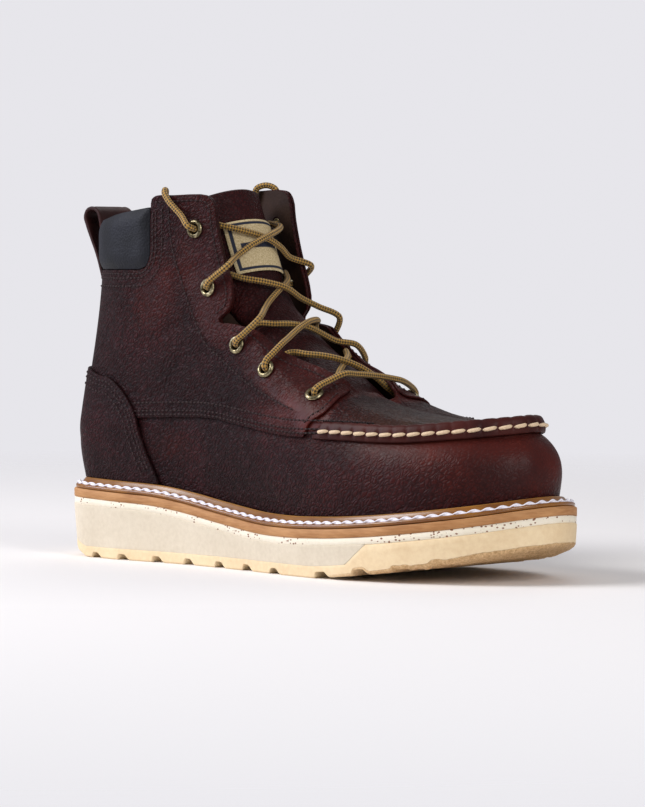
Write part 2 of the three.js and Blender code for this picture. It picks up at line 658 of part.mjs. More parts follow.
// A plain cloth patch high on the tongue.
const patchLow = 0.735;
const patchHigh = 0.88;
const patchReach = 0.5;
const patchSeat = gap + 0.2; // over the tongue's facets
add("tongue_patch", patchSolid(
  4, 6,
  (i, j) => tonguePoint(patchLow + (patchHigh - patchLow) * i, patchReach * (2 * j - 1),
    patchSeat + patchThickness),
  (i, j) => tonguePoint(patchLow + (patchHigh - patchLow) * i, patchReach * (2 * j - 1), patchSeat),
), 0xc4ae84, 0.8);

// Pull loop: a strip up the back of the shaft that stands off as a loop behind the pad.
const loopPath = new THREE.CatmullRomCurve3([
  [-28.2, 126], [-29.2, 133], [-31.4, 142], [-36.5, 159], [-43.6, 174], [-45.2, 178.5], [-43.4, 182],
  [-39.5, 183], [-35.4, 181], [-33.2, 175], [-32.2, 168], [-31.8, 162],
].map(([x, z]) => new THREE.Vector3(x, 0, z)), false, "centripetal");
const loopSteps = 20;
const loopBand = sweptSolid(Array.from({ length: loopSteps + 1 }, (_, i) => {
  const s = i / loopSteps;
  const centre = loopPath.getPoint(s);
  const along = loopPath.getTangent(s);
  const out = new THREE.Vector3(-along.z, 0, along.x).multiplyScalar(strapThickness / 2);
  const half = new THREE.Vector3(0, strapWidth / 2, 0);
  return [
    centre.clone().add(out).add(half), centre.clone().add(out).sub(half),
    centre.clone().sub(out).sub(half), centre.clone().sub(out).add(half),
  ];
}));
// Below the loop the strip lies on the leather as far as the counter's top edge.
const stripLevels = [1.2, 1.28, 1.38, 1.48, 1.58];
const stripHalf = 0.42; // stations to each side of the boot's back
const stripSkin = shell(
  steps(-stripHalf, stripHalf, stripHalf / 2), stripLevels, gap, gap + strapThickness);
const [, stripEnd] = toSide(counterEdge[0]);
const strip = stripSkin.subtract(sidePrism([
  [-heelOrigin - beyond, 0], [0, 0], [0, stripEnd + gap], [-heelOrigin - beyond, stripEnd + gap],
], -sideReach, sideReach));
add("pull_loop", largest(loopBand.add(strip)), 0x3b201e, 0.55);

// Eyelets: a barrel through quarter and lining, with a rolled rim outside.
const rimSeat = gap + 0.25; // the rim's seat over the curved leather
function eyeletSolid(place) {
  const barrelDepth = panelThickness + gap + liningWall;
  const profile = [
    [eyeletHole / 2, -barrelDepth], [eyeletBarrel / 2, -barrelDepth], [eyeletBarrel / 2, rimSeat],
    [eyeletOuter / 2, rimSeat], [eyeletOuter / 2 - 0.9, rimSeat + eyeletRim],
    [eyeletHole / 2 + 0.5, rimSeat + eyeletRim * 0.8], [eyeletHole / 2, -barrelDepth],
  ].map(([radius, height]) => new THREE.Vector2(radius, height));
  return fromGeometry(new THREE.LatheGeometry(profile, 10).applyMatrix4(eyeletFrame(place)));
}
for (const [name, place] of Object.entries(eyelets)) {
  add(`eyelet_${name}`, eyeletSolid(place), 0x9b9078, 0.35, 0.9);
}

// Laces over the tongue. Each strand runs from an outer eyelet's row to an inner one, and at
// each end it either comes out of the eyelet's face or goes under the facing.
const laceRadius = laceDiameter / 2;
const eyeletSteps = [0.905, 0.73, 0.55, 0.42, 0.235]; // where each eyelet row meets the tongue
const cornerLift = 2.4; // how far a strand stands off a facing's edge, out and up
const laceSides = 4; // points in a quarter of the lace's section
function laceTube(points, tubeSteps) {
  const curve = new THREE.CatmullRomCurve3(points, false, "centripetal");
  const section = new THREE.Shape().absarc(0, 0, laceRadius, 0, Math.PI * 2);
  return fromGeometry(new THREE.ExtrudeGeometry(section, {
    steps: tubeSteps, curveSegments: laceSides, bevelEnabled: false, extrudePath: curve,
  }));
}
// Where a line of the side view leaves the leather: a point of its top edge and the way out.
function edgeCrossing(side, from, target) {
  const edge = topEdge(side);
  for (let i = collarEdge.length; i + 1 < edge.length; i += 1) {
    const [a, b] = [edge[i], edge[i + 1]].map(([x, z]) => new THREE.Vector2(x, z));
    const across = b.clone().sub(a);
    const line = target.clone().sub(from);
    const spread = line.cross(across);
    const along = a.clone().sub(from).cross(across) / spread;
    const share = a.clone().sub(from).cross(line) / spread;
    if (along > 0 && share >= 0 && share <= 1) {
      return { place: a.add(across.clone().multiplyScalar(share)), out: [-across.y, across.x] };
    }
  }
  return { place: target.clone(), out: [0, 1] };
}
// Out of an eyelet and flat over the facing, then over the facing's edge.
function overFacing(side, row, target) {
  const { point, normal } = eyelets[`${side < 0 ? "outer" : "inner"}_${row}`];
  const from = new THREE.Vector2(point.x, point.z);
  const { place, out } = edgeCrossing(side, from, new THREE.Vector2(target.x, target.z));
  const half = onSide((from.x + place.x) / 2, (from.y + place.y) / 2, side);
  const corner = onSide(place.x, place.y, side);
  const wayOut = new THREE.Vector3(out[0], 0, out[1]).normalize();
  const lift = laceRadius + gap;
  const along = half.point.clone().sub(point).normalize();
  return [
    point.clone().addScaledVector(normal, lift + rimSeat + eyeletRim + 0.9).addScaledVector(along, -0.6),
    half.point.clone().addScaledVector(half.normal, lift + rimSeat + 2.2),
    corner.point.clone().addScaledVector(corner.normal, cornerLift).addScaledVector(wayOut, cornerLift),
  ];
}
function strand([outerRow, outerOver], [innerRow, innerOver], lift, endLift) {
  const from = eyeletSteps[outerRow - 1];
  const to = eyeletSteps[innerRow - 1];
  const middle = tonguePoint((from + to) / 2, 0, laceRadius + lift);
  const points = outerOver ? overFacing(-1, outerRow, middle) : [];
  for (const across of [-0.55, -0.25, 0, 0.25, 0.55]) {
    const over = across < 0 ? outerOver : innerOver;
    if (Math.abs(across) > 0.5 && over) continue;
    const s = from + ((to - from) * (across + 0.8)) / 1.6;
    const rise = Math.abs(across) > 0.5 ? endLift : lift;
    points.push(tonguePoint(s, across, gap + laceRadius + rise));
  }
  if (innerOver) points.push(...overFacing(1, innerRow, middle).toReversed());
  return laceTube(points, 9);
}
const restLift = 0.4; // over the tongue's facets
const patchLift = patchSeat + patchThickness + restLift + 0.3;
const onTop = laceDiameter * 0.75;
const barLift = 7.8; // the bar spans the gap between the facings
// A row for each crossing: the strand below, the strand above, each from its outer to its
// inner eyelet, and how far both lie off the tongue.
const crossings = [
  [[[1, false], [2, true]], [[2, true], [1, false]], patchLift],
  [[[3, true], [2, false]], [[2, false], [3, true]], restLift],
  [[[3, false], [4, true]], [[4, true], [3, false]], restLift],
  [[[5, false], [4, false]], [[4, false], [5, false]], restLift],
];
crossings.forEach(([below, above, lift], i) => {
  const crossing = strand(...below, lift, lift).add(strand(...above, lift + onTop, lift));
  add(`lace_cross_${i + 1}`, crossing, 0x9a7431, 0.8);
});
add("lace_bar", strand([5, true], [5, true], barLift, barLift), 0x9a7431, 0.8);

// The lace's two ends: out of the top eyelets, over the flaps' top edges and into the shaft.
// Their routes are chosen by hand, in millimetres.
const lateralEnd = [
  [59.4, -34.5, 171], [57.6, -36, 173.9], [54.6, -37.4, 177.6], [51.2, -38.5, 182], [47.8, -38.8, 186],
  [44.6, -38.4, 189.8], [42, -36.6, 193], [40.2, -33.6, 194.8], [39.2, -30, 194.6], [38.6, -27, 192.4],
  [38, -25.2, 189], [37.4, -24.5, 185], [36.8, -24.3, 181], [36.2, -24.2, 177], [35.8, -24.1, 173],
];
const medialEnd = [
  [58.4, 35.4, 174.6], [58.8, 36.4, 178], [58.9, 37.2, 182], [58.6, 37.8, 186], [58, 37.8, 190],
  [57, 36.6, 193.6], [55.6, 34.2, 196.4], [53.6, 31, 197.2], [51.2, 28.4, 195.2], [48.6, 27, 191.8],
  [45.8, 26.5, 188.2], [42.8, 26.2, 184.8], [39.6, 26, 181.6], [36.4, 25.6, 178.6], [33.2, 25, 175.6],
];
for (const [name, route] of Object.entries({ lateral: lateralEnd, medial: medialEnd })) {
  const points = route.map(([x, y, z]) => new THREE.Vector3(x, y, z));
  add(`lace_end_${name}`, laceTube(points, 12), 0x9a7431, 0.8);
}

export default boot;
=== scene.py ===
# %% [markdown]
# # A lace-up work boot with a moccasin toe
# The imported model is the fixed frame. Every leather, rubber and thread piece is built here as a
# dense mesh over the same last, and stands for the plain solid of the same name.

import math
from functools import partial

import bpy
import numpy as np
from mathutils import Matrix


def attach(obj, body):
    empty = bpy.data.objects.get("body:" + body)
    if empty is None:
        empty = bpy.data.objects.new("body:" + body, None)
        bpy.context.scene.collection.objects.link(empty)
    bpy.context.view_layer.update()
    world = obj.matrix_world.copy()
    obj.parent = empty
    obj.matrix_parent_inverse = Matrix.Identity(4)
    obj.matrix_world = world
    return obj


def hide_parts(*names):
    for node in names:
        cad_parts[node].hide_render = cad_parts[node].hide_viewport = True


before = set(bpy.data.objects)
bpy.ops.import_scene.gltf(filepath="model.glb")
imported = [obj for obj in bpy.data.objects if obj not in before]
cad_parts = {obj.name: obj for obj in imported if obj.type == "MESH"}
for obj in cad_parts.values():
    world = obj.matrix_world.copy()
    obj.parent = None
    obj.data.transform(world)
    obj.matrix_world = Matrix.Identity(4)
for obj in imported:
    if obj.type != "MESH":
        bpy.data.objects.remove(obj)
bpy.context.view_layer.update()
scene = bpy.context.scene
MM = 0.001  # the tables below are in millimetres, Blender is in metres
print("frame:", len(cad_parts), "nodes")

# %% [markdown]
# ## Camera
# The boot is seen from its outer side and a little from the front, from about its own height.
# A camera can be set by eye, or worked out from the sole's known length in the picture, which
# is what was done here: a long lens from two metres keeps the uprights nearly parallel.

# %% Camera
camera_turn = math.radians(43.5)
camera_pitch = math.radians(2.17)
camera_place = (1419.9, -1371.8, 154.5)
image_height = 807  # pixels
focal_pixels = 3740
sensor = 36.0
camera_data = bpy.data.cameras.new("camera")
camera_data.sensor_width = sensor
camera_data.lens = focal_pixels / image_height * sensor
camera = bpy.data.objects.new("camera", camera_data)
camera.location = [value * MM for value in camera_place]
camera.rotation_euler = (math.pi / 2 - camera_pitch, 0, camera_turn)
scene.collection.objects.link(camera)
scene.camera = camera
print("lens", round(camera_data.lens, 1), "mm")

# %% [markdown]
# ## Meshes from arrays
# A shoe's surface follows its last, the foot-shaped block that it is made over. The pieces
# could be sculpted, or be grids of points worked out by functions. Arrays of points were chosen
# because they are quick, exact and come out the same again. Each piece goes through one
# function that makes the mesh, shades it smoothly and fastens it to the boot's body.

# %% Making a piece
def make_piece(name, points, faces, materials, replaces=(), slot=None, face_material=None, paint=None):
    """A smooth mesh from points in millimetres; paint holds shares that its material reads."""
    mesh = bpy.data.meshes.new(name)
    mesh.from_pydata((np.asarray(points, float) * MM).tolist(), [], [list(map(int, f)) for f in faces])
    for material in materials:
        mesh.materials.append(material)
    mesh.polygons.foreach_set("use_smooth", np.ones(len(mesh.polygons), bool))
    if face_material is not None:
        mesh.polygons.foreach_set("material_index", np.asarray(face_material, np.int32))
    for key, values in (paint or {}).items():
        layer = mesh.attributes.new(key, "FLOAT", "POINT")
        layer.data.foreach_set("value", np.asarray(values, np.float32))
    mesh.validate()
    mesh.update()
    piece = bpy.data.objects.new(name, mesh)
    scene.collection.objects.link(piece)
    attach(piece, "root")
    if replaces:
        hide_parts(*replaces)
    print(f"{name}: {len(mesh.vertices)} points, {len(mesh.polygons)} faces")
    return piece


def unit(vectors):
    return vectors / np.maximum(np.linalg.norm(vectors, axis=-1, keepdims=True), 1e-9)


def curve_through(points, closed=False):
    """A centripetal curve through points; its parameter counts the spans."""
    points = np.asarray(points, float)
    if closed:
        held = np.vstack([points[-1:], points, points[:2]])
        spans = len(points)
    else:
        held = np.vstack([2 * points[0] - points[1], points, 2 * points[-1] - points[-2]])
        spans = len(points) - 1

    def at(place):
        place = np.asarray(place, float)
        if closed:
            place = np.mod(place, spans)
        span = np.clip(np.floor(place).astype(int), 0, spans - 1)
        w = (place - span)[..., None]
        a, b, c, d = (held[span + k] for k in range(4))

        def step(p, q):
            return np.power(np.sum((p - q) ** 2, -1), 0.25)[..., None]

        ab, bc, cd = step(a, b), step(b, c), step(c, d)
        bc = np.where(bc < 1e-4, 1.0, bc)
        ab = np.where(ab < 1e-4, bc, ab)
        cd = np.where(cd < 1e-4, bc, cd)
        go = ((b - a) / ab - (c - a) / (ab + bc) + (c - b) / bc) * bc
        come = ((c - b) / bc - (d - b) / (bc + cd) + (d - c) / cd) * bc
        return b + w * (go + w * (-3 * b + 3 * c - 2 * go - come + w * (2 * b - 2 * c + go + come)))

    at.spans = spans
    return at


def lengths_along(points):
    return np.concatenate([[0], np.cumsum(np.linalg.norm(np.diff(points, axis=0), axis=1))])


def at_lengths(where, along, points):
    """Points at some lengths of a line whose own points lie at the lengths along."""
    return np.stack([np.interp(where, along, values) for values in points.T], 1)


def resample(points, spacing, count=None):
    """Points evenly spaced along a smooth curve through the given ones."""
    curve = curve_through(points)
    fine = curve(np.linspace(0, curve.spans, curve.spans * 24 + 1))
    along = lengths_along(fine)
    count = count or max(2, int(round(along[-1] / spacing)) + 1)
    return at_lengths(np.linspace(0, along[-1], count), along, fine)


def ring_faces(count, size, closed=True, capped=False):
    """Faces between neighbouring rings of points, which are closed loops themselves."""
    faces = []
    for i in range(count if closed else count - 1):
        a, b = i * size, (i + 1) % count * size
        faces += [(a + k, a + (k + 1) % size, b + (k + 1) % size, b + k) for k in range(size)]
    if capped:
        faces += [list(range(size))[::-1], [(count - 1) * size + k for k in range(size)]]
    return faces


print("a square's outline:", lengths_along(np.array([(0, 0), (1, 0), (1, 1), (0, 1), (0, 0)]))[-1])


# %% [markdown]
# ## The last: sizes and stations
# A pattern maker writes a last down as sections at stations from heel to toe, and draws the
# leather's edges on its side. The same is done here: driving sizes in millimetres first, then
# tables of shares. Lengths are shares of the sole, half widths of the ball, heights of the toe
# box or of the shaft, so the boot keeps its proportions when one size is changed.

# %% Driving sizes
lace_radius = 3.2 / 2
sole_length, ball_half_width, heel_origin = 311.0, 56.0, 40.0
heel_platform, toe_height, shaft_height = 36.0, 81.0, 189.0
inner_flap_rise, inner_instep_drop = 3.0, 4.0
gap, tread_thickness, midsole_thickness, speckled_thickness = 0.3, 6.0, 4.4, 3.4
welt_reveal, welt_flange, lip_gap = 8.6, 2.3, 1.1
lining_wall, panel_thickness, counter_thickness = 1.8, 1.2, 1.5
pad_thickness, insole_thickness, tongue_thickness = 3.2, 4.5, 3.0
strap_width, strap_thickness = 25.0, 1.9
lining_out = -(panel_thickness + gap)
lining_in = lining_out - lining_wall
feather_in = welt_reveal - panel_thickness - gap


def table(names, rows):
    return {name: np.array([row[k] for row in rows], float) for k, name in enumerate(names.split())}


stations = table(
    "along outer inner seam_in seam_back seam_up top_along top_out top_up "
    "foot_in foot_up head_in head_up belly", [
        (0, 0, 0, -0.035, 0, 0.89, 0.040, 0, 0.942, 0.14, 0.47, 0.07, -0.47, 0.03),
        (0.035, 0.62, 0.60, -0.035, 0, 0.89, 0.053, 0.34, 0.947, 0.09, 0.47, 0.05, -0.47, 0.03),
        (0.13, 0.73, 0.72, -0.04, 0, 0.89, 0.122, 0.58, 0.963, 0.04, 0.47, 0.02, -0.47, 0.02),
        (0.22, 0.715, 0.69, -0.05, 0, 0.905, 0.19, 0.615, 0.99, 0.02, 0.47, 0, -0.47, 0.02),
        (0.30, 0.70, 0.66, -0.06, 0, 0.915, 0.257, 0.61, 1.02, 0.02, 0.49, 0, -0.49, 0.02),
        (0.375, 0.73, 0.67, -0.05, 0.013, 0.915, 0.341, 0.54, 1.03, 0.02, 0.52, 0, -0.52, 0.03),
        (0.45, 0.78, 0.70, -0.03, 0.026, 0.89, 0.392, 0.465, 0.89, 0.02, 0.42, -0.02, -0.42, 0.04),
        (0.60, 0.93, 0.90, 0.04, 0.05, 0.84, 0.424, 0.44, 0.73, 0.02, 0.30, -0.05, -0.27, 0.06),
        (0.70, 0.98, 0.96, 0.08, 0.045, 0.84, 0.514, 0.40, 0.588, 0.02, 0.20, -0.09, -0.16, 0.07),
        (0.82, 0.90, 0.91, 0.10, 0.026, 0.835, 0.609, 0.36, 0.514, 0.04, 0.12, -0.20, -0.15, 0.08),
        (0.92, 0.66, 0.73, 0.14, 0.01, 0.865, 0.635, 0.25, 0.487, 0.05, 0.11, -0.40, -0.17, 0.10),
        (0.98, 0.30, 0.43, 0.16, 0, 0.89, 0.634, 0.125, 0.480, 0.05, 0.11, -0.60, -0.20, 0.11),
        (1, 0, 0.06, 0.16, 0, 0.90, 0.632, 0, 0.478, 0.05, 0.11, -0.66, -0.21, 0.11),
    ])
sole_rows = table("along tread platform", [
    (0, 0.15, 1), (0.05, 0.065, 0.992), (0.078, 0, 0.985), (0.16, 0, 0.96), (0.24, 0, 0.93),
    (0.32, 0, 0.85), (0.4, 0, 0.755), (0.5, 0, 0.663), (0.58, 0, 0.647), (0.64, 0, 0.663),
    (0.70, 0.04, 0.69), (0.78, 0.115, 0.747), (0.87, 0.22, 0.838), (0.94, 0.33, 0.93), (1, 0.43, 1.04),
])
bevel_rows = table("along inset rise", [
    (0, 6, 1.5), (0.12, 2.2, 1.2), (0.6, 1.6, 1.2), (0.8, 3, 2.2), (0.94, 9, 4.2), (1, 12, 4.6),
])
collar_edge = [(0.02, 0.93), (0.09, 0.936), (0.15, 0.952), (0.2205, 0.967)]
flap_edge = [
    (0.222, 0.985), (0.231, 0.996), (0.275, 0.998), (0.324, 0.999), (0.343, 0.992),
    (0.3545, 0.968), (0.359, 0.924), (0.369, 0.861), (0.381, 0.804), (0.3925, 0.757),
    (0.3965, 0.722), (0.393, 0.692), (0.378, 0.668), (0.3745, 0.660), (0.378, 0.655),
]
facing_edge = [
    (0.404, 0.652), (0.447, 0.637), (0.471, 0.612), (0.496, 0.585), (0.534, 0.559),
    (0.573, 0.540), (0.609, 0.517), (0.6275, 0.498),
]
lobe_edge = [
    (0.6365, 0.478), (0.638, 0.452), (0.632, 0.426), (0.616, 0.407), (0.606, 0.391),
    (0.600, 0.364), (0.585, 0.349),
]
counter_edge = [
    (0.02, 0.533), (0.06, 0.522), (0.095, 0.505), (0.126, 0.497), (0.156, 0.468), (0.178, 0.432),
    (0.192, 0.394), (0.199, 0.350), (0.211, 0.300), (0.225, 0.252), (0.238, 0.2),
]
pad_front_along, pad_low_up = 0.2215, 0.795
eyelet_places = [(0.317, 0.906), (0.350, 0.748), (0.4195, 0.596), (0.492, 0.534), (0.597, 0.471)]
tongue_rows = table("along up half_width drop", [
    (0.668, 0.402, 0.32, 0.05), (0.635, 0.428, 0.32, 0.06), (0.60, 0.470, 0.33, 0.07),
    (0.545, 0.538, 0.34, 0.10), (0.490, 0.600, 0.35, 0.15), (0.435, 0.675, 0.37, 0.22),
    (0.395, 0.755, 0.39, 0.30), (0.372, 0.845, 0.41, 0.36), (0.352, 0.935, 0.41, 0.38),
    (0.332, 1.018, 0.40, 0.36),
])
last_station = len(stations["along"]) - 1
turn = 2 * last_station
print("stations in a whole turn:", turn)


# %% [markdown]
# ## The last's surface
# Everything sewn on the boot lies on one surface, so one function gives it. Patches modelled
# one by one would leave gaps between them. The surface has two numbers: t goes round the boot
# from the heel's back over the outer side to the toe and back, and v climbs from the welt (0)
# over the seam round the vamp (1) to the collar, the facings and the plug (2).

# %% Surface functions
def along_x(share):
    return np.asarray(share) * sole_length - heel_origin


def inner_shift(up):
    flap = np.clip((up - 0.66) * 6, 0, 1)
    instep = np.clip((0.62 - up) * 8, 0, 1) * np.clip((up - 0.38) * 10, 0, 1)
    return inner_flap_rise * flap - inner_instep_drop * instep


def to_side(points, side=-1):
    """Shares of sole and shaft as millimetres of the side view."""
    points = np.asarray(points, float)
    shift = inner_shift(points[:, 1]) if side > 0 else 0
    return np.stack([along_x(points[:, 0]), points[:, 1] * shaft_height + shift], 1)


def profile(rows, name):
    xs, ys = rows["along"], rows[name]

    def at(share):
        share = np.asarray(share, float)
        i = np.sum(share[..., None] > xs[1:-1], -1)
        a, b = i, i + 1
        slope = lambda p, q: (ys[q] - ys[p]) / (xs[q] - xs[p])
        before = np.where(i > 0, slope(np.maximum(a - 1, 0), b), slope(a, b))
        after = np.where(i < len(xs) - 2, slope(a, np.minimum(b + 1, len(xs) - 1)), slope(a, b))
        level = (ys[a] != ys[b]).astype(float)
        width = xs[b] - xs[a]
        u = np.clip((share - xs[a]) / width, 0, 1)
        h = (1 - u) ** 2
        return ((1 + 2 * u) * h * ys[a] + u * h * width * before * level
                + u * u * (3 - 2 * u) * ys[b] - u * u * (1 - u) * width * after * level)

    return at


tread_of, platform_of = profile(sole_rows, "tread"), profile(sole_rows, "platform")
bevel_inset, bevel_rise = profile(bevel_rows, "inset"), profile(bevel_rows, "rise")


def tread_z(x):
    return heel_platform * tread_of((x + heel_origin) / sole_length)


def platform_z(x):
    return heel_platform * platform_of((x + heel_origin) / sole_length)


print("the foot's platform at the ball is", round(float(platform_z(160.0)), 1), "mm up")

# %% [markdown]
# ## Curves round the boot
# The sole's edge, the seam round the vamp and the top edge each run once round the boot, with
# one point for each station and side. Curve objects could hold them, but the pieces need their
# points between stations, and a function answers that at once.

# %% Curves and the surface
def round_curve(point_of):
    outer = [point_of(i, 0 if i == 0 else -1) for i in range(last_station + 1)]
    inner = [point_of(i, 1) for i in range(last_station - 1, 0, -1)]
    return curve_through(outer + inner, closed=True)


def edge_point(i, side):
    width = stations["inner"][i] if i == last_station else (
        side * stations["outer" if side < 0 else "inner"][i])
    return (along_x(stations["along"][i]), ball_half_width * width, 0)


edge_curve = round_curve(edge_point)
columns = {name: round_curve(lambda i, side: (stations[name][i], 0, 0)) for name in stations}


def column(name, t):
    return columns[name](t)[..., 0]


def inward(t):
    along = edge_curve(t + 0.02) - edge_curve(t - 0.02)
    return unit(np.stack([-along[..., 1], along[..., 0], 0 * along[..., 0]], -1))


def sole_point(t, inset, height):
    """A point at an inset from the sole's edge; height(x) or plain numbers give z."""
    point = edge_curve(t) + inward(t) * np.asarray(inset)[..., None]
    point[..., 2] = height(point[..., 0]) if callable(height) else height
    return point


def seam_point(i, side):
    t = np.array(float(i if side <= 0 else turn - i))
    point = sole_point(t, feather_in + stations["seam_in"][i] * ball_half_width, platform_z)
    point[0] -= stations["seam_back"][i] * sole_length
    point[2] = stations["seam_up"][i] * toe_height
    return point


def top_point(i, side):
    up = stations["top_up"][i]
    shift = float(inner_shift(up)) if side > 0 else 0
    return (along_x(stations["top_along"][i]), side * stations["top_out"][i] * ball_half_width,
            up * shaft_height + shift)


seam_curve, top_curve = round_curve(seam_point), round_curve(top_point)
swell_low, swell_high = 1.4, 0.9
swell_peak = (swell_low / (swell_low + swell_high)) ** swell_low * (
    swell_high / (swell_low + swell_high)) ** swell_high


def surface(t, v):
    t, v = np.broadcast_arrays(np.asarray(t, float), np.asarray(v, float))
    foot = sole_point(t, np.full(t.shape, feather_in), platform_z)
    foot[..., 2] += gap + welt_flange + gap
    seam, into = seam_curve(t), inward(t)
    low = np.clip(v, 0, 1)
    swell = low ** swell_low * (1 - low) ** swell_high / swell_peak
    wall = foot + (seam - foot) * low[..., None]
    wall = wall - into * (swell * column("belly", t) * ball_half_width)[..., None]
    top = top_curve(t)

    def handle(end, in_name, up_name):
        moved = end + into * (column(in_name, t) * ball_half_width)[..., None]
        moved[..., 2] += column(up_name, t) * toe_height
        return moved

    a, b = handle(seam, "foot_in", "foot_up"), handle(top, "head_in", "head_up")
    u = np.clip(v - 1, 0, 1)[..., None]
    shaft = (1 - u) ** 3 * seam + 3 * u * (1 - u) ** 2 * a + 3 * u * u * (1 - u) * b + u ** 3 * top
    return np.where((v <= 1)[..., None], wall, shaft)


def normal(t, v):
    step = 0.03
    low, high = np.maximum(0, v - step), np.minimum(2, v + step)
    round_way = surface(t + step, v) - surface(t - step, v)
    return unit(np.cross(round_way, surface(t, high) - surface(t, low)))


def off_surface(t, v, off):
    t, v = np.broadcast_arrays(np.asarray(t, float), np.asarray(v, float))
    within = np.clip(v, 0, 2)
    point = surface(t, within) + normal(t, within) * np.asarray(off)[..., None]
    reach = 0.1
    inside = np.clip(within, reach, 2 - reach)
    out = surface(t, within) - surface(t, inside)
    return point + out * (np.abs(v - within) / reach)[..., None]


print("toe tip:", np.round(surface(12, 0.5), 1))


# %% [markdown]
# ## Cutting a leather panel
# A cutter lays a pattern on the hide and cuts along it. A boolean cut could do that here, but
# it leaves long thin faces that shade badly. Instead the pattern is a closed line in the side
# view: the grid is clipped along it, gets its thickness, and its cut edge is rounded as a
# skived and burnished edge is.

# %% Pattern lines and clipped grids
def distance_inside(points, outline):
    """How far points of the side view lie inside a closed outline; below 0 outside."""
    x, z = points[..., 0], points[..., 1]
    nearest = np.full(x.shape, 1e9)
    inside = np.zeros(x.shape, bool)
    for (ax, az), (bx, bz) in zip(outline, np.roll(outline, -1, 0)):
        dx, dz = bx - ax, bz - az
        u = np.clip(((x - ax) * dx + (z - az) * dz) / (dx * dx + dz * dz + 1e-12), 0, 1)
        nearest = np.minimum(nearest, np.hypot(x - ax - u * dx, z - az - u * dz))
        if az != bz:
            inside ^= ((az > z) != (bz > z)) & (x < (bx - ax) * (z - az) / (bz - az) + ax)
    return np.where(inside, nearest, -nearest)


def smooth_line(points, side=-1, step=1.5):
    return resample(to_side(points, side), step)


def clip_grid(ts, vs, keep, wraps=False):
    """Points (t, v) and faces of the part of a grid where keep is positive."""
    T, V = np.meshgrid(ts, vs)
    S = keep(T, V)
    S = np.where(np.abs(S) < 0.12, 0, S)
    rows, cols = S.shape
    inside = S >= 0
    index = np.full(S.shape, -1)
    index[inside] = np.arange(inside.sum())
    t_out, v_out = list(T[inside]), list(V[inside])
    cut = {}
    last = cols if wraps else cols - 1
    j, i = np.meshgrid(np.arange(last), np.arange(rows - 1))
    k = (j + 1) % cols
    corners = np.stack([index[i, j], index[i, k], index[i + 1, k], index[i + 1, j]], -1).reshape(-1, 4)
    whole = (corners >= 0).all(1)
    faces = corners[whole].tolist()

    def crossing(p, q):
        key = (p, q) if p < q else (q, p)
        if S[p] == 0 or S[q] == 0:
            return index[p] if S[p] == 0 else index[q]
        if key not in cut:
            share = S[p] / (S[p] - S[q])
            tq = T[q] + (turn if wraps and T[q] < T[p] - turn / 2 else 0)
            tp = T[p] + (turn if wraps and T[p] < T[q] - turn / 2 else 0)
            cut[key] = len(t_out)
            t_out.append(tp + (tq - tp) * share)
            v_out.append(V[p] + (V[q] - V[p]) * share)
        return cut[key]

    mixed = (~whole) & (corners >= 0).any(1)
    for a, b, c in zip(i.reshape(-1)[mixed], j.reshape(-1)[mixed], k.reshape(-1)[mixed]):
        ring = [(a, b), (a, c), (a + 1, c), (a + 1, b)]
        if max(S[p] for p in ring) <= 0:
            continue
        face = []
        for p, q in zip(ring, ring[1:] + ring[:1]):
            if inside[p]:
                face.append(index[p])
            if inside[p] != inside[q]:
                face.append(crossing(p, q))
        face = [f for n, f in enumerate(face) if f != face[n - 1]]
        if len(set(face)) >= 3:
            faces.append(list(dict.fromkeys(face)))
    return np.array(t_out), np.array(v_out), faces


square = [(0, 0), (10, 0), (10, 10), (0, 10)]
print("a square's middle lies inside by", distance_inside(np.array([5.0, 5.0]), square), "mm")

# %% [markdown]
# ## Panels and swept sections
# Every piece of the boot is one of two kinds. A panel is a clipped grid with an outer face, an
# inner face and a rounded rim between them. A swept section, such as the welt, is a row of
# rings joined by faces. Two functions make them, so all pieces are closed in the same way.

# %% Panels and rings
def border(faces, count):
    """Border edges of faces, in their own direction."""
    edges = np.array([(f[n - 1], f[n]) for f in faces for n in range(len(f))])
    keys, back = edges[:, 0] * count + edges[:, 1], edges[:, 1] * count + edges[:, 0]
    return edges[~np.isin(keys, back)]


def panel(name, ts, vs, keep, outer, inner, facing, materials, radius=0.45, wraps=False, paint=None, **how):
    """A sheet with thickness: outer(t, v) and inner(t, v) give its faces, facing its normal."""
    t, v, faces = clip_grid(ts, vs, lambda T, V: keep(T, V) - radius, wraps)
    top, low, n = outer(t, v), inner(t, v), facing(t, v)
    edges = border(faces, len(t))
    out = np.zeros_like(top)
    ways = unit(np.cross(unit(top[edges[:, 1]] - top[edges[:, 0]]), n[edges[:, 0]]))
    np.add.at(out, edges[:, 0], ways)
    np.add.at(out, edges[:, 1], ways)
    rim = np.unique(edges)
    out, order = unit(out[rim]), {int(r): k for k, r in enumerate(rim)}
    rounds = [math.radians(a) for a in (30, 60, 90)]
    rows = [top[rim] + out * radius * math.sin(a) - n[rim] * radius * (1 - math.cos(a)) for a in rounds]
    rows.append(low[rim] + out * radius)
    points = np.vstack([top, low] + rows)
    start = 2 * len(t)
    all_faces = list(faces)
    indices = [0] * len(faces)
    all_faces += [[f + len(t) for f in reversed(face)] for face in faces]
    indices += [1 if len(materials) > 1 else 0] * len(faces)
    for a, b in edges:
        ka, kb = order[int(a)], order[int(b)]
        chain_a = [a] + [start + r * len(rim) + ka for r in range(4)] + [a + len(t)]
        chain_b = [b] + [start + r * len(rim) + kb for r in range(4)] + [b + len(t)]
        for r in range(5):
            all_faces.append([chain_b[r], chain_a[r], chain_a[r + 1], chain_b[r + 1]])
            indices.append(0)
    values = {key: function(points) for key, function in (paint or {}).items()}
    return make_piece(name, points, all_faces, materials, face_material=indices, paint=values, **how)


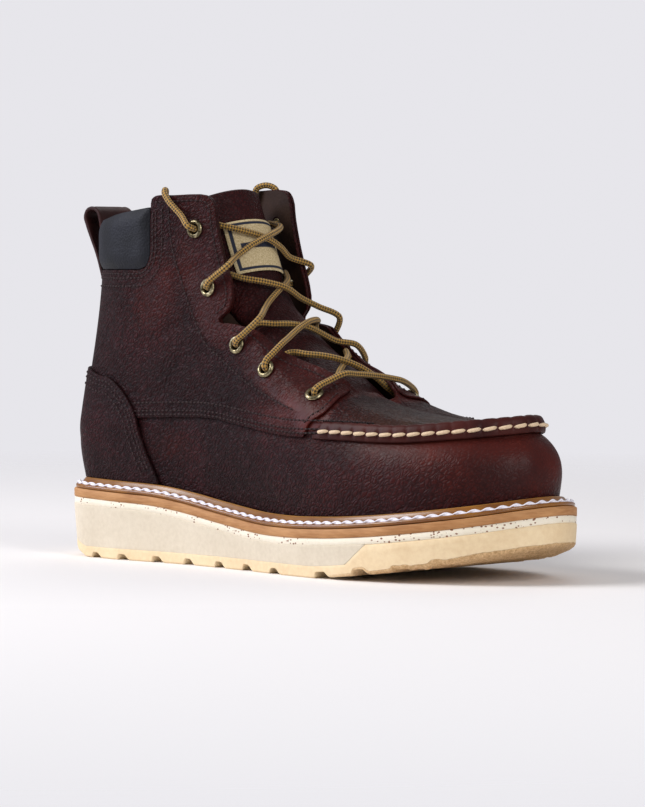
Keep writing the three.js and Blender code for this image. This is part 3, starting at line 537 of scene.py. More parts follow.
def rings_piece(name, rings, materials, capped=False, paint=None, **how):
    """A closed skin over rings of points, which are closed loops themselves."""
    rings = np.asarray(rings, float)
    count, n = rings.shape[:2]
    faces = ring_faces(count, n, closed=not capped)
    if capped:
        for base, flip in ((0, True), ((count - 1) * n, False)):
            for k in range(n // 2):
                strip = [base + k, base + k + 1, base + n - k - 1, base + (n - k) % n]
                strip = list(dict.fromkeys(strip))
                if len(strip) > 2:
                    faces.append(strip[::-1] if flip else strip)
    points = rings.reshape(-1, 3)
    values = {key: function(points) for key, function in (paint or {}).items()}
    return make_piece(name, points, faces, materials, paint=values, **how)


print("rim edges of one face:", len(border([(0, 1, 2, 3)], 4)))

# %% [markdown]
# ## Finding a place on the boot
# Seams, eyelets and stitches are drawn in the side view, as on a pattern. They could be
# dropped on the mesh with rays, but the surface is known, so its two numbers are found for
# such a point: the nearest point of a coarse grid first, then a few Newton steps.

# %% From the side view to the surface
def locate(points, side, lowest=1.0):
    points = np.asarray(points, float)
    t_grid = np.arange(0, 10.6, 0.2) if side < 0 else turn - np.arange(0, 10.6, 0.2)
    T, V = [g.reshape(-1) for g in np.meshgrid(t_grid, np.linspace(lowest, 2, 26))]
    grid = surface(T, V)
    near = np.argmin((grid[None, :, 0] - points[:, None, 0]) ** 2
                     + (grid[None, :, 2] - points[:, None, 1]) ** 2, 1)
    t, v = T[near].copy(), V[near].copy()
    for _ in range(8):
        here = surface(t, v)
        miss = np.stack([here[:, 0] - points[:, 0], here[:, 2] - points[:, 1]], 1)
        by_t = (surface(t + 0.01, v) - surface(t - 0.01, v))[:, [0, 2]] / 0.02
        by_v = (surface(t, np.minimum(v + 0.01, 2)) - surface(t, v - 0.01))[:, [0, 2]]
        by_v /= (np.minimum(v + 0.01, 2) - (v - 0.01))[:, None]
        det = by_t[:, 0] * by_v[:, 1] - by_t[:, 1] * by_v[:, 0]
        det = np.where(np.abs(det) < 1.0, np.sign(det + 1e-9), det)
        dt = (miss[:, 0] * by_v[:, 1] - miss[:, 1] * by_v[:, 0]) / det
        dv = (by_t[:, 0] * miss[:, 1] - by_t[:, 1] * miss[:, 0]) / det
        t = t - np.clip(dt, -0.5, 0.5)
        v = np.clip(v - np.clip(dv, -0.1, 0.1), lowest, 2)
    return t, v


eyelets = {}
for side_name, side in (("outer", -1), ("inner", 1)):
    t_found, v_found = locate(to_side(eyelet_places, side), side)
    for row in range(len(eyelet_places)):
        t_here, v_here = t_found[row:row + 1], v_found[row:row + 1]
        eyelets[side_name, row + 1] = (surface(t_here, v_here)[0], normal(t_here, v_here)[0])
print("top outer eyelet at", np.round(eyelets["outer", 1][0], 1))

# %% [markdown]
# ## Materials: one helper
# A finish is a small graph of nodes. It could be wired by hand in the editor. Here one
# function adds a node with its settings and links, so that each finish reads as a short list,
# and one turns an sRGB colour to the linear values that the shader wants.

# %% Node helper and colours
def linear(hex_colour):
    channels = [int(hex_colour[i:i + 2], 16) / 255 for i in (1, 3, 5)]
    return [c / 12.92 if c <= 0.04045 else ((c + 0.055) / 1.055) ** 2.4 for c in channels] + [1.0]


def feed(node, inputs):
    """Links or sets inputs, by name or number; a hex string is a colour."""
    for key, value in inputs.items():
        if isinstance(value, bpy.types.NodeSocket):
            node.id_data.links.new(value, node.inputs[key])
        else:
            node.inputs[key].default_value = linear(value) if isinstance(value, str) else value


def add_node(tree, kind, inputs=(), out=0, stops=(), **settings):
    """Adds a node with its settings and links and gives one of its outputs.

    The inputs are a list in the sockets' order or a dict, and stops are a ramp's colours.
    """
    node = tree.nodes.new("ShaderNode" + kind)
    for key, value in settings.items():
        setattr(node, key, value)
    feed(node, inputs if isinstance(inputs, dict) else dict(enumerate(inputs)))
    for index, (position, colour) in enumerate(stops):
        elements = node.color_ramp.elements
        element = elements[index] if index < len(elements) else elements.new(position)
        element.position = position
        element.color = linear(colour)
    return node.outputs[out]


def new_material(name, colour, roughness, **shader_values):
    """A material, its own add-node function and its shader."""
    material = bpy.data.materials.new(name)
    material.use_nodes = True
    material.diffuse_color = linear(colour)
    shader = material.node_tree.nodes["Principled BSDF"]
    feed(shader, {"Base Color": colour, "Roughness": roughness})
    feed(shader, {key.replace("_", " "): value for key, value in shader_values.items()})
    return material, partial(add_node, material.node_tree), shader


def object_place(add, stretch=(1, 1, 1), turned=(0, 0, 0)):
    """Object coordinates in metres, turned and stretched, so 1000 / mm is a pattern's scale."""
    return add("Mapping", {"Vector": add("TexCoord", out="Object"), "Scale": stretch, "Rotation": turned})


def relief(add, shader, layers):
    """Layers of relief from coarse to fine: (height, strength, depth in millimetres)."""
    below = {}
    for height, strength, depth in layers:
        below = {"Normal": add("Bump", {
            "Height": height, "Strength": strength, "Distance": depth * MM, **below})}
    feed(shader, below)


print("brown in linear values:", [round(c, 4) for c in linear("#281012")])

# %% [markdown]
# ## Pebbled oxblood leather
# Full grain cow hide, milled so that it shrinks into pebbles 1.5 to 2 mm across with finer
# pores between them, dyed nearly black red and waxed. The dye is redder where the hide was
# stretched or handled, on the facings and the toe, and the pebbles are flat there. The grain
# is a cell pattern for the pebbles and a noise for the creases between them, both slanted and
# stretched, because a side of leather shrinks more one way. It is relief in the finish, since
# as real faces it would take millions of them. The colour holds painted shade in the valleys
# and a painted highlight on the peaks, under a low satin shine. Pores are drawn 0.5 mm apart, coarser than
# real ones.

# %% Leather
grain_slant = math.radians(-44)
grain_stretch = (1.9, 1.2, 1.0)


def oxblood_leather(name, pebble_mm, depth_mm):
    """Pebbled hide that turns red and smooth with "warmth" and dusty brown with "plug"."""
    material, add, shader = new_material(name, "#3a2222", 0.42)
    place = object_place(add)
    warm = add("Attribute", out="Fac", attribute_name="warmth")
    plug = add("Attribute", out="Fac", attribute_name="plug")
    wobble = add("TexNoise", {"Vector": place, "Scale": 1000 / 4.0}, "Color")
    moved = add("VectorMath", {0: wobble, "Scale": 0.0026}, operation="SCALE")
    bent = add("VectorMath", [place, moved], operation="ADD")
    slanted = add("Mapping", {"Vector": bent, "Rotation": (0, grain_slant, 0), "Scale": grain_stretch},
                  vector_type="TEXTURE")
    edge = add("TexVoronoi", {"Vector": slanted, "Scale": 1000 / pebble_mm}, feature="DISTANCE_TO_EDGE")
    pebbles = add("MapRange", [edge, 0.0, 0.32])
    lines = add("TexNoise", {
        "Vector": slanted, "Scale": 1000 / 2.2, "Detail": 3.0, "Roughness": 0.6, "Distortion": 0.5})
    pores = add("TexNoise", {"Vector": place, "Scale": 1000 / 0.5})
    flat = add("MapRange", [warm, 0.12, 0.8, 1.0, 0.14])
    grain = add("Math", [pebbles, flat], operation="MULTIPLY")
    furrows = add("Math", [lines, flat], operation="MULTIPLY")
    relief(add, shader, [(furrows, 0.8, 1.2), (grain, 0.9, depth_mm), (pores, 0.3, 0.08)])

    dye_cloud = add("TexNoise", {"Vector": place, "Scale": 1000 / 34, "Detail": 3.0, "Roughness": 0.55})
    dye = add("ValToRGB", [dye_cloud], stops=[(0.32, "#1f0c0e"), (0.5, "#281012"), (0.68, "#341518")])
    red_cloud = add("TexNoise", {"Vector": place, "Scale": 1000 / 24, "Detail": 3.0})
    red = add("ValToRGB", [red_cloud], stops=[(0.35, "#3d130e"), (0.6, "#541910"), (0.75, "#6a2112")])
    plug_cloud = add("TexNoise", {"Vector": place, "Scale": 1000 / 12, "Detail": 3.0})
    plug_dye = add("ValToRGB", [plug_cloud], stops=[(0.35, "#281812"), (0.7, "#3e281c")])
    red_share = add("MapRange", [warm, 0.0, 1.0, 0.0, 0.95])
    # Painted shade: the colour darkens to near black in the valleys between the pebbles.
    painted_valley_shade = add("MapRange", [pebbles, 0.6, 0.05, 0.0, 0.8])
    painted_valley_shade = add("Math", [painted_valley_shade, flat], operation="MULTIPLY")
    # Painted highlight: the colour lightens to a greyish red on the peaks of the crease noise.
    painted_peak_highlight = add("MapRange", [lines, 0.52, 0.74, 0.0, 0.36])
    painted_peak_highlight = add("Math", [painted_peak_highlight, flat], operation="MULTIPLY")
    colour = dye
    # Over the dye go the red and plug tones, then painted shade in the valleys and a painted highlight on the
    # peaks.
    layers = ((red_share, red), (plug, plug_dye), (painted_valley_shade, "#120a0b"), (painted_peak_highlight, "#43262a"))
    for share, other in layers:
        colour = add("Mix", {0: share, 6: colour, 7: other}, 2, data_type="RGBA")
    feed(shader, {
        "Base Color": colour,
        "Roughness": add("MapRange", [lines, 0.3, 0.7, 0.50, 0.36]),
        "Specular IOR Level": add("MapRange", [warm, 0.3, 1.0, 0.085, 0.2])})
    return material


quarter_leather = oxblood_leather("oxblood_leather_quarter", 1.7, 0.42)
vamp_leather = oxblood_leather("oxblood_leather_vamp", 1.8, 0.36)
tongue_leather = oxblood_leather("oxblood_leather_tongue", 1.5, 0.3)
counter_leather = oxblood_leather("oxblood_leather_counter", 1.6, 0.3)
print("oxblood leathers: 4")

# %% [markdown]
# ## Smooth leathers and linings
# The collar is soft charcoal garment leather, whose fine even grain looks nearly matt. The
# lining is brown pigskin and the insole's cover brushed cloth, both dull. The moccasin seam's
# folded edge and the pull loop are the upper's hide with the grain pulled flat. One recipe of
# small domes under a cloudy dye gives all of them, with their own pebble size and tones.

# %% Plain leathers
def plain_leather(name, dark, light, roughness, pebble_mm, depth_mm):
    """Even small pebbles over a colour that drifts between a dark and a light tone."""
    material, add, shader = new_material(
        name, dark, roughness, Coat_Weight=0.0, Coat_Roughness=0.35, Specular_IOR_Level=0.16)
    place = object_place(add)
    cells = add("TexVoronoi", {"Vector": place, "Scale": 1000 / pebble_mm, "Smoothness": 0.6},
                feature="SMOOTH_F1")
    domes = add("Math", [1.0, cells], operation="SUBTRACT")
    fine = add("TexNoise", {"Vector": place, "Scale": 1000 / pebble_mm / 0.4})
    relief(add, shader, [(domes, 0.6, depth_mm), (fine, 0.4, depth_mm / 2)])
    cloud = add("TexNoise", {"Vector": place, "Scale": 1000 / 18, "Detail": 3.0})
    feed(shader, {"Base Color": add("ValToRGB", [cloud], stops=[(0.35, dark), (0.68, light)])})
    return material


collar_leather = plain_leather("charcoal_garment_leather", "#17181c", "#22232a", 0.55, 1.1, 0.35)
lining_leather = plain_leather("brown_pigskin_lining", "#2a1c17", "#3d2a21", 0.7, 1.2, 0.12)
lip_leather = plain_leather("oxblood_leather_folded_edge", "#32110f", "#451a15", 0.48, 1.1, 0.08)
strap_leather = plain_leather("oxblood_leather_strap", "#261312", "#3a1c1a", 0.5, 1.2, 0.12)
insole_material = plain_leather("brushed_lining_cloth", "#4a3a30", "#5d4a3d", 0.9, 0.8, 0.1)
print("plain leathers and cloth: 5")

# %% [markdown]
# ## Welt, midsole and crepe-like rubber
# The welt is a strip of vegetable tanned leather under clear wax: amber brown and glossy,
# with a painted highlight along its lip. The midsole is tan rubber, trimmed on a wheel, which
# leaves fine lines along it. The wedge and the tread are foamed rubber in cream and pale yellow,
# matt, with a cloudy tone and a sandy underside. The layer above the wedge has brown cork specks
# in it, which are a few chosen cells of a cell pattern about 2 mm wide. One recipe of streaks or
# clouds serves all, because it is only the direction and size of its pattern that changes.

# %% Sole materials
foam_pattern = (0.5, 0.5, 0.5)


def streaked(name, dark, light, roughness, pattern=(0.12, 0.12, 1.0), size_mm=0.9, depth_mm=0.08, **values):
    """Fine streaks or clouds in two tones; also gives the colour for what lies over it."""
    material, add, shader = new_material(name, dark, roughness, **values)
    fine = add("TexNoise", {
        "Vector": object_place(add, pattern), "Scale": 1000 / size_mm, "Detail": 3.0, "Roughness": 0.6})
    cloud = add("TexNoise", {"Vector": object_place(add), "Scale": 1000 / 22, "Detail": 3.0})
    both = add("Math", [fine, cloud], operation="ADD")
    mean = add("Math", [both, 0.5], operation="MULTIPLY")
    colour = add("ValToRGB", [mean], stops=[(0.38, dark), (0.62, light)])
    feed(shader, {"Base Color": colour})
    relief(add, shader, [(fine, 0.5, depth_mm)])
    return material, add, shader, colour


welt_material, add, shader, colour = streaked(
    "waxed_vegetable_tanned_welt", "#6f3f0d", "#8f5c16", 0.3, depth_mm=0.03, Coat_Weight=0.3,
    Coat_Roughness=0.22)
# Painted highlight: a pale amber is mixed into the colour along the welt's top edge.
painted_lip_highlight = add("Attribute", out="Fac", attribute_name="painted_lip_highlight")
feed(shader, {"Base Color": add("Mix", {0: painted_lip_highlight, 6: colour, 7: "#b17e40"}, 2, data_type="RGBA")})

midsole_material = streaked("tan_rubber_trimmed", "#a06c3c", "#bd8a58", 0.7, depth_mm=0.2)[0]
wedge_material = streaked("cream_foam_rubber", "#d0c3ad", "#dbcfba", 0.78, foam_pattern, 1.1, 0.05)[0]

tread_material, add, shader, colour = streaked(
    "pale_yellow_crepe_rubber", "#e2c79e", "#ecd5ae", 0.72, foam_pattern, 1.3, 0.06)
grit = add("TexNoise", {"Vector": object_place(add), "Scale": 1000 / 1.4, "Detail": 4.0, "Roughness": 0.7})
sandy = add("ValToRGB", [grit], stops=[(0.35, "#b58b5a"), (0.65, "#e6c291")])
under = add("Attribute", out="Fac", attribute_name="under")
feed(shader, {"Base Color": add("Mix", {0: under, 6: colour, 7: sandy}, 2, data_type="RGBA")})
relief(add, shader, [(add("Math", [grit, under], operation="MULTIPLY"), 0.9, 1.2)])

speck_material, add, shader, colour = streaked(
    "cream_rubber_with_cork_specks", "#e8dec8", "#eee5d3", 0.75, foam_pattern, 1.0, 0.05)
speck_place = {"Vector": object_place(add, (1, 1, 1.5)), "Scale": 1000 / 1.9}
cell_number = add("SeparateColor", {"Color": add("TexVoronoi", speck_place, "Color")})
chosen = add("MapRange", [cell_number, 0.42, 0.44])
small = add("MapRange", [add("TexVoronoi", speck_place, "Distance"), 0.30, 0.38, 1.0, 0.0])
cloud = add("TexNoise", {"Vector": object_place(add), "Scale": 1000 / 14})
patchy = add("MapRange", [cloud, 0.42, 0.50])
speck = add("Math", [add("Math", [chosen, small], operation="MULTIPLY"), patchy], operation="MULTIPLY")
feed(shader, {"Base Color": add("Mix", {0: speck, 6: colour, 7: "#7c4a2c"}, 2, data_type="RGBA")})
print("sole materials: 5")

# %% [markdown]
# ## Thread, lace, metal and cloth
# Bonded thread is nearly the leather's own colour and dull, the moccasin seam is thick waxed
# cream thread and the welt's lockstitch is white. Each pricked hole gets a near black sunk
# capsule as painted shade for its dark inside. The lace is a hollow round braid of gold and dark
# brown yarns, whose pattern of small diamonds comes from two families of helices. The eyelets
# are plated brass with tarnish in the low places, so their shine is broken. The patch is woven cloth with a
# border and a band.
# Twist and weave are drawn 0.7 to 0.8 mm wide, coarser than the real 0.4 mm, so that they show.

# %% Small materials
def thread_material(name, colour, roughness, twist_mm=0.8):
    """Twisted plies show as fine slanting bands of relief."""
    material, add, shader = new_material(name, colour, roughness)
    place = object_place(add, turned=(0.5, 0.7, 0.3))
    plies = add("TexWave", {"Vector": place, "Scale": 1000 / twist_mm / 6, "Distortion": 1.0}, "Fac")
    relief(add, shader, [(plies, 0.7, 0.15)])
    return material


dark_thread = thread_material("bonded_thread_oxblood", "#281011", 0.8)
cream_thread = thread_material("waxed_thread_cream", "#d8bd9c", 0.6)
white_thread = thread_material("waxed_thread_white", "#ece8f2", 0.5)
# The needle holes are near black sunk capsules: painted shade for the dark inside of each hole.
hole_shade_material = new_material("painted_shade_in_pricked_hole", "#0d0707", 0.9)[0]

lace_material, add, shader = new_material(
    "braided_polyester_gold_and_brown", "#a87c31", 0.72, Sheen_Weight=0.15)
lace_along = add("Attribute", out="Fac", attribute_name="along")
lace_round = add("Attribute", out="Fac", attribute_name="round")
braid_pitch, yarns = 2.8, 3.0


def yarn_family(way):
    turned = add("Math", [lace_round, yarns * way], operation="MULTIPLY")
    phase = add("Math", [lace_along, 1 / braid_pitch, turned], operation="MULTIPLY_ADD")
    return add("Math", [add("Math", [phase, 2 * math.pi], operation="MULTIPLY")], operation="SINE")


weave = add("Math", [yarn_family(1.0), yarn_family(-1.0)], operation="MULTIPLY")
yarn = add("MapRange", [weave, -0.75, 0.45])
braid = add("ValToRGB", [yarn], stops=[(0.0, "#261e15"), (0.38, "#614a24"), (1.0, "#bb8f3e")])
wear = add("TexNoise", {"Vector": object_place(add), "Scale": 1000 / 9, "Detail": 3.0})
worn = add("MapRange", [wear, 0.5, 0.7, 0.0, 0.45])
feed(shader, {"Base Color": add("Mix", {0: worn, 6: braid, 7: "#7a6434"}, 2, data_type="RGBA")})
relief(add, shader, [(add("Math", [weave], operation="ABSOLUTE"), 0.8, 0.35)])

eyelet_material, add, shader = new_material("antique_plated_brass", "#b5aa8a", 0.3, Metallic=1.0)
tarnish = add("TexNoise", {
    "Vector": object_place(add), "Scale": 1000 / 2.2, "Detail": 4.0, "Roughness": 0.65})
feed(shader, {
    "Base Color": add("ValToRGB", [tarnish], stops=[(0.36, "#3c3626"), (0.52, "#8a7f62"), (0.7, "#bdb28e")]),
    "Roughness": add("MapRange", [tarnish, 0.35, 0.65, 0.5, 0.24])})
relief(add, shader, [(tarnish, 0.4, 0.12)])

patch_material, add, shader = new_material("woven_label_cloth", "#c9b48a", 0.82)
patch_across = add("Math", [add("Attribute", out="Fac", attribute_name="across")], operation="ABSOLUTE")
patch_up = add("Math", [add("Attribute", out="Fac", attribute_name="up")], operation="ABSOLUTE")
outward = add("Math", [patch_across, patch_up], operation="MAXIMUM")
border_starts = add("MapRange", [outward, 0.80, 0.82])
border_ends = add("MapRange", [outward, 0.90, 0.92, 1.0, 0.0])
border_ink = add("Math", [border_starts, border_ends], operation="MULTIPLY")
band_height = add("MapRange", [patch_up, 0.10, 0.12, 1.0, 0.0])
band_width = add("MapRange", [outward, 0.66, 0.68, 1.0, 0.0])
band_ink = add("Math", [band_height, band_width], operation="MULTIPLY")
ink = add("Math", [border_ink, band_ink], operation="MAXIMUM")
fibres = add("TexNoise", {"Vector": object_place(add), "Scale": 1000 / 0.7})
cloth = add("ValToRGB", [fibres], stops=[(0.35, "#b59f74"), (0.65, "#d6c39a")])
feed(shader, {"Base Color": add("Mix", {0: ink, 6: cloth, 7: "#1c2234"}, 2, data_type="RGBA")})
weft = add("TexWave", {"Vector": object_place(add), "Scale": 1000 / 0.7 / 6, "Distortion": 0.4}, "Fac",
           bands_direction="Z")
relief(add, shader, [(weft, 0.6, 0.12)])
print("materials:", len(bpy.data.materials))

# %% [markdown]
# ## Where the hide is redder, and its creases
# The facings, the collar's front and the toe are warmer and smoother than the pebbled sides,
# because the hide is pulled tight there. That could be painted by hand on the mesh. Here the
# share is worked out at each point from soft round zones, so that it follows any change. The
# main creases are soft troughs in the mesh itself, each with a swelling beside it.

# %% Warm zones and creases
def zone(points, centre, size):
    d = (points - np.array(centre, float)) / np.array(size, float)
    return np.exp(-np.sum(d * d, -1))


def warmth(points):
    x, y, z = points[:, 0], np.abs(points[:, 1]), points[:, 2]
    mirrored = np.stack([x, -y, z], 1)
    facing_line = np.interp(z, [70, 81, 90, 106, 120, 145, 190], [140, 137, 112, 80, 62, 50, 40])
    beyond = np.clip((x - facing_line) / 8 + 0.3, 0, 1) * (z > 70) * (x < 160)
    value = (0.46 - 0.2 * np.clip((z - 130) / 30, 0, 1)) * beyond
    value += 0.42 * zone(mirrored, (34, -34, 140), (20, 30, 24))
    value += 0.55 * zone(mirrored, (128, -42, 78), (22, 30, 9))
    value += 0.95 * zone(mirrored, (215, -46, 72), (46, 26, 12))
    value += 0.75 * zone(mirrored, (262, 0, 60), (40, 44, 26))
    value += 0.35 * zone(mirrored, (205, -50, 48), (50, 30, 26))
    value += 0.35 * zone(mirrored, (45, -40, 60), (14, 30, 8))
    value -= 0.5 * zone(mirrored, (86, -30, 104), (12, 30, 10))
    return np.clip(value, 0, 1)


# Main creases of the hide: middle (x, z), half length, slant in degrees, width and depth
creases = [
    (38, 116, 22, 38, 5.0, 0.55), (52, 102, 26, 34, 5.5, 0.5), (66, 88, 24, 30, 5.0, 0.45),
    (20, 108, 16, 48, 4.5, 0.4), (88, 82, 20, 22, 4.5, 0.4), (118, 56, 26, 35, 7.0, 0.5),
    (144, 54, 24, 38, 7.0, 0.5), (96, 52, 24, 32, 6.5, 0.4), (58, 150, 14, 20, 4.0, 0.35),
]


def crease_depth(x, z):
    depth = np.zeros_like(x)
    for cx, cz, half, slant, width, deep in creases:
        a = math.radians(slant)
        u = (x - cx) * math.cos(a) + (z - cz) * math.sin(a)
        w = -(x - cx) * math.sin(a) + (z - cz) * math.cos(a) + 0.012 * u * u
        fade = np.exp(-(u / half) ** 2 * 1.5)
        trough = np.exp(-(w / width) ** 2)
        swelling = 0.45 * np.exp(-((w - 1.5 * width) / width) ** 2)
        depth += 1.4 * deep * fade * (trough - swelling)
    return depth


def leather_off(t, v, base):
    here = surface(t, np.clip(v, 0, 2))
    return base - crease_depth(here[..., 0], here[..., 2])


print("the first crease is", np.round(crease_depth(np.array([38.0]), np.array([116.0])), 2), "mm deep")


# %% [markdown]
# ## Vamp, plug and lining
# The upper's wall is one skin that goes right round. It is pulled over the last while damp, so
# it bulges between the welt and the moccasin seam. Its inside is the lining. A solidify
# modifier could give it a wall, but its two faces have different looks and their own creases,
# so both are worked out from the last's surface, with holes left for the eyelets.

# %% The upper
throat_half = 0.2 * ball_half_width
far, high = 200.0, 500.0  # well past the boot's own outline
lining_hole, leather_hole = 3.4, 3.3  # radii of the punched holes round an eyelet's barrel


def top_line(side):
    return np.vstack([smooth_line(collar_edge, -1), smooth_line(flap_edge + facing_edge, side)])


def below_top(side):
    line = top_line(side)
    return np.vstack([[(-far, -50), (-far, line[0][1])], line,
                      [(line[-1][0] + 1, high), (far * 2, high), (far * 2, -50)]])


below = {side: below_top(side) for side in (-1, 1)}


def hole_distance(points, radius):
    nearest = np.full(points.shape[:-1], 1e9)
    for centre, _ in eyelets.values():
        nearest = np.minimum(nearest, np.linalg.norm(points - centre, axis=-1))
    return nearest - radius


def keep_upper(t, v):
    here = surface(t, v)
    flat = here[..., [0, 2]]
    by_side = np.where(here[..., 1] < 0, distance_inside(flat, below[-1]), distance_inside(flat, below[1]))
    middle = (np.abs(here[..., 1]) < throat_half) & (here[..., 0] > 120)
    return np.minimum(np.where(middle, 50, by_side), hole_distance(here, lining_hole))


def plug_share(points):
    line = seam_curve(np.linspace(6.8, 17.2, 240))
    height = np.interp(points[:, 0], *np.array(sorted((p[0], p[2]) for p in line)).T)
    return np.clip((points[:, 2] - height + 2) / 4, 0, 1) * np.clip((points[:, 0] - 160) / 45, 0, 1)


upper_t = np.arange(0, turn, 1 / 15)
upper_v = np.concatenate([np.linspace(0, 1, 26)[:-1], np.linspace(1, 2, 34)])
panel(
    "vamp_plug_and_lining", upper_t, upper_v, keep_upper,
    lambda t, v: off_surface(t, v, leather_off(t, v, lining_out)),
    lambda t, v: off_surface(t, v, np.full(t.shape, lining_in)),
    normal, [vamp_leather, lining_leather], wraps=True, paint={"warmth": warmth, "plug": plug_share},
    replaces=["upper"], slot="upper_leather")

# %% [markdown]
# ## Quarters
# Shaft leather, flaps and facings are cut in one piece a side and laid over the lining. Their
# lower edge lies on the seam round the vamp, and the moccasin seam starts at their front lobe.
# They could be painted on the upper, but their raised cut edge catches the light, so each is
# a panel of its own with real thickness.

# %% Quarters
def quarter_outline(side):
    low = pad_low_up * shaft_height
    front = along_x(pad_front_along)
    return np.vstack([
        [(-far, low), (front - 9, low), (front - 3, low + 1.5), (front, low + 7)],
        smooth_line(flap_edge + facing_edge, side), smooth_line(lobe_edge, side),
        [(along_x(0.585), 0), (-far, 0)],
    ])


quarter_outlines = {side: quarter_outline(side) for side in (-1, 1)}
for side, side_name in ((-1, "lateral"), (1, "medial")):
    def keep_quarter(t, v, side=side):
        here = surface(t, v)
        within = distance_inside(here[..., [0, 2]], quarter_outlines[side])
        return np.minimum(within, hole_distance(here, leather_hole))

    ends = (0.06, 9.5) if side < 0 else (turn - 9.5, turn - 0.06)
    panel(
        f"quarter_leather_{side_name}", np.arange(ends[0], ends[1], 1 / 17), np.linspace(1.012, 2.0, 62),
        keep_quarter,
        lambda t, v: off_surface(t, v, leather_off(t, v, 0)),
        lambda t, v: off_surface(t, v, np.full(t.shape, lining_out + 0.2)),
        normal, [quarter_leather], paint={"warmth": warmth},
        replaces=[f"quarter_{side_name}"], slot="upper_leather")

# %% [markdown]
# ## Heel counter
# A stiffer piece over the heel, sewn down with three rows, so that the heel keeps its shape.
# It is a panel like the quarters, set higher, whose lower edge thins out into the welt as the
# real one is skived thin there. It is the pebbled oxblood leather.

# %% Counter
counter_outline = np.vstack([
    [(-far, counter_edge[0][1] * shaft_height)], smooth_line(counter_edge), [(along_x(0.238), 0), (-far, 0)]])


def counter_off(t, v):
    return gap + counter_thickness - panel_thickness * np.clip((1 - v) / 0.3, 0, 1)


panel(
    "counter_leather", np.arange(-3.5, 3.5, 1 / 16), np.linspace(0.1, 1.45, 60),
    lambda t, v: distance_inside(surface(t, v)[..., [0, 2]], counter_outline),
    lambda t, v: off_surface(t, v, counter_off(t, v)),
    lambda t, v: off_surface(t, v, np.where(v < 0.9, lining_out + 0.2, 0.05)),
    normal, [counter_leather], radius=0.6, paint={"warmth": warmth},
    replaces=["heel_counter"], slot="upper_leather")

# %% [markdown]
# ## Collar pad
# Foam under soft garment leather. It is crowned: full in the middle and drawn down along its
# seam. Cloth simulation can blow up such a pad, but this one is a thin roll sewn to a curved
# shaft all round, so its height simply follows the distance to its outline.

# %% Collar pad
pad_front, pad_low = along_x(pad_front_along), pad_low_up * shaft_height
pad_outline = np.vstack([
    [(-far, pad_low + gap), (pad_front - 9.3, pad_low + gap), (pad_front - 3.3, pad_low + 1.8),
     (pad_front - gap, pad_low + 7)],
    smooth_line(collar_edge)[::-1], [(-far, collar_edge[0][1] * shaft_height)]])


def pad_keep(t, v):
    return distance_inside(surface(t, np.minimum(v, 2))[..., [0, 2]], pad_outline)


def pad_off(t, v):
    depth = np.clip(pad_keep(t, v) / 9, 0, 1)
    return lining_out + gap + 0.6 + (pad_thickness - 0.4) * (1 - (1 - depth) ** 2.6)


collar = panel(
    "collar_pad_leather", np.arange(-5.4, 5.4, 1 / 14), np.linspace(1.6, 2.0, 34), pad_keep,
    lambda t, v: off_surface(t, v, pad_off(t, v)),
    lambda t, v: off_surface(t, v, np.full(t.shape, lining_out + 0.1)),
    normal, [collar_leather], radius=0.6, replaces=["collar_pad"], slot="collar_leather")

# %% [markdown]
# ## Moccasin seam
# Vamp and plug are folded up against each other and sewn through with thick thread. The fold
# is a ridge that is pinched in at every needle hole. A bevelled curve could stand for it, but
# it would be even all along, so one section is swept here and shrinks at every hole.

# %% Moccasin lip and its thread
lip_section = [(-1.6, -0.6), (0.4, -0.4), (0.95, 1.6), (0.75, 3.6), (0.1, 5.6), (-0.9, 7.3), (-2.2, 8.1),
               (-3.6, 7.8), (-4.6, 6.2), (-5.0, 3.6), (-4.4, 0.4)]
section_fine = curve_through(lip_section, closed=True)(np.linspace(0, len(lip_section), 29)[:-1])
lip_start = along_x(lobe_edge[-2][0]) + 5.5


def seam_at_x(x, low, high):
    rises = seam_curve(np.array(high))[0] > seam_curve(np.array(low))[0]
    for _ in range(30):
        middle = (low + high) / 2
        if (seam_curve(np.array(middle))[0] < x) == rises:
            low = middle
        else:
            high = middle
    return low


fine_t = np.linspace(seam_at_x(lip_start, 5.0, 10.0), seam_at_x(lip_start, turn - 10.0, turn - 5.0), 900)
seam_way = seam_curve(fine_t)
seam_length = lengths_along(seam_way)
moc_pitch = 7.6
moc_count = int(seam_length[-1] / moc_pitch)
lip_lengths = np.linspace(0, seam_length[-1], 620)
lip_t = np.interp(lip_lengths, seam_length, fine_t)
hole_phase = np.abs((lip_lengths / moc_pitch) % 1 - 0.5) * moc_pitch  # 0 at a needle hole
pinch = np.exp(-(hole_phase / 1.3) ** 2)
out_way = -inward(lip_t)
ends = np.clip(np.minimum(lip_lengths, seam_length[-1] - lip_lengths) / 6, 0.25, 1) ** 0.5
rings = []
for out, up in section_fine:
    outer_face = np.clip((out + 1.2) / 2, 0, 1) * np.clip(1 - abs(up - 3.4) / 4.2, 0, 1)
    ridge = np.clip((up - 5) / 3, 0, 1)
    moved = out - 0.75 * pinch * outer_face
    raised = up - 0.3 * pinch * ridge + 0.15 * np.sin(lip_lengths / 11.0) * ridge
    rings.append(seam_curve(lip_t) + out_way * ((moved + 1.5) * ends - 1.5)[:, None]
                 + np.stack([0 * lip_t, 0 * lip_t, raised * ends], 1))
rings = np.array(rings).transpose(1, 0, 2)
faces = ring_faces(*rings.shape[:2], closed=False, capped=True)
make_piece("moccasin_lip", rings.reshape(-1, 3), faces, [lip_leather], replaces=["moccasin_seam"],
           slot="upper_leather")


# %% [markdown]
# ## Stitches
# A sewing machine leaves short threads between pricked holes. Each could be an object on a
# curve, but there are over a thousand, so all stitches of one thread are one mesh. A stitch is
# a capsule whose ends dive into the leather, and its middle comes from even steps along a seam.

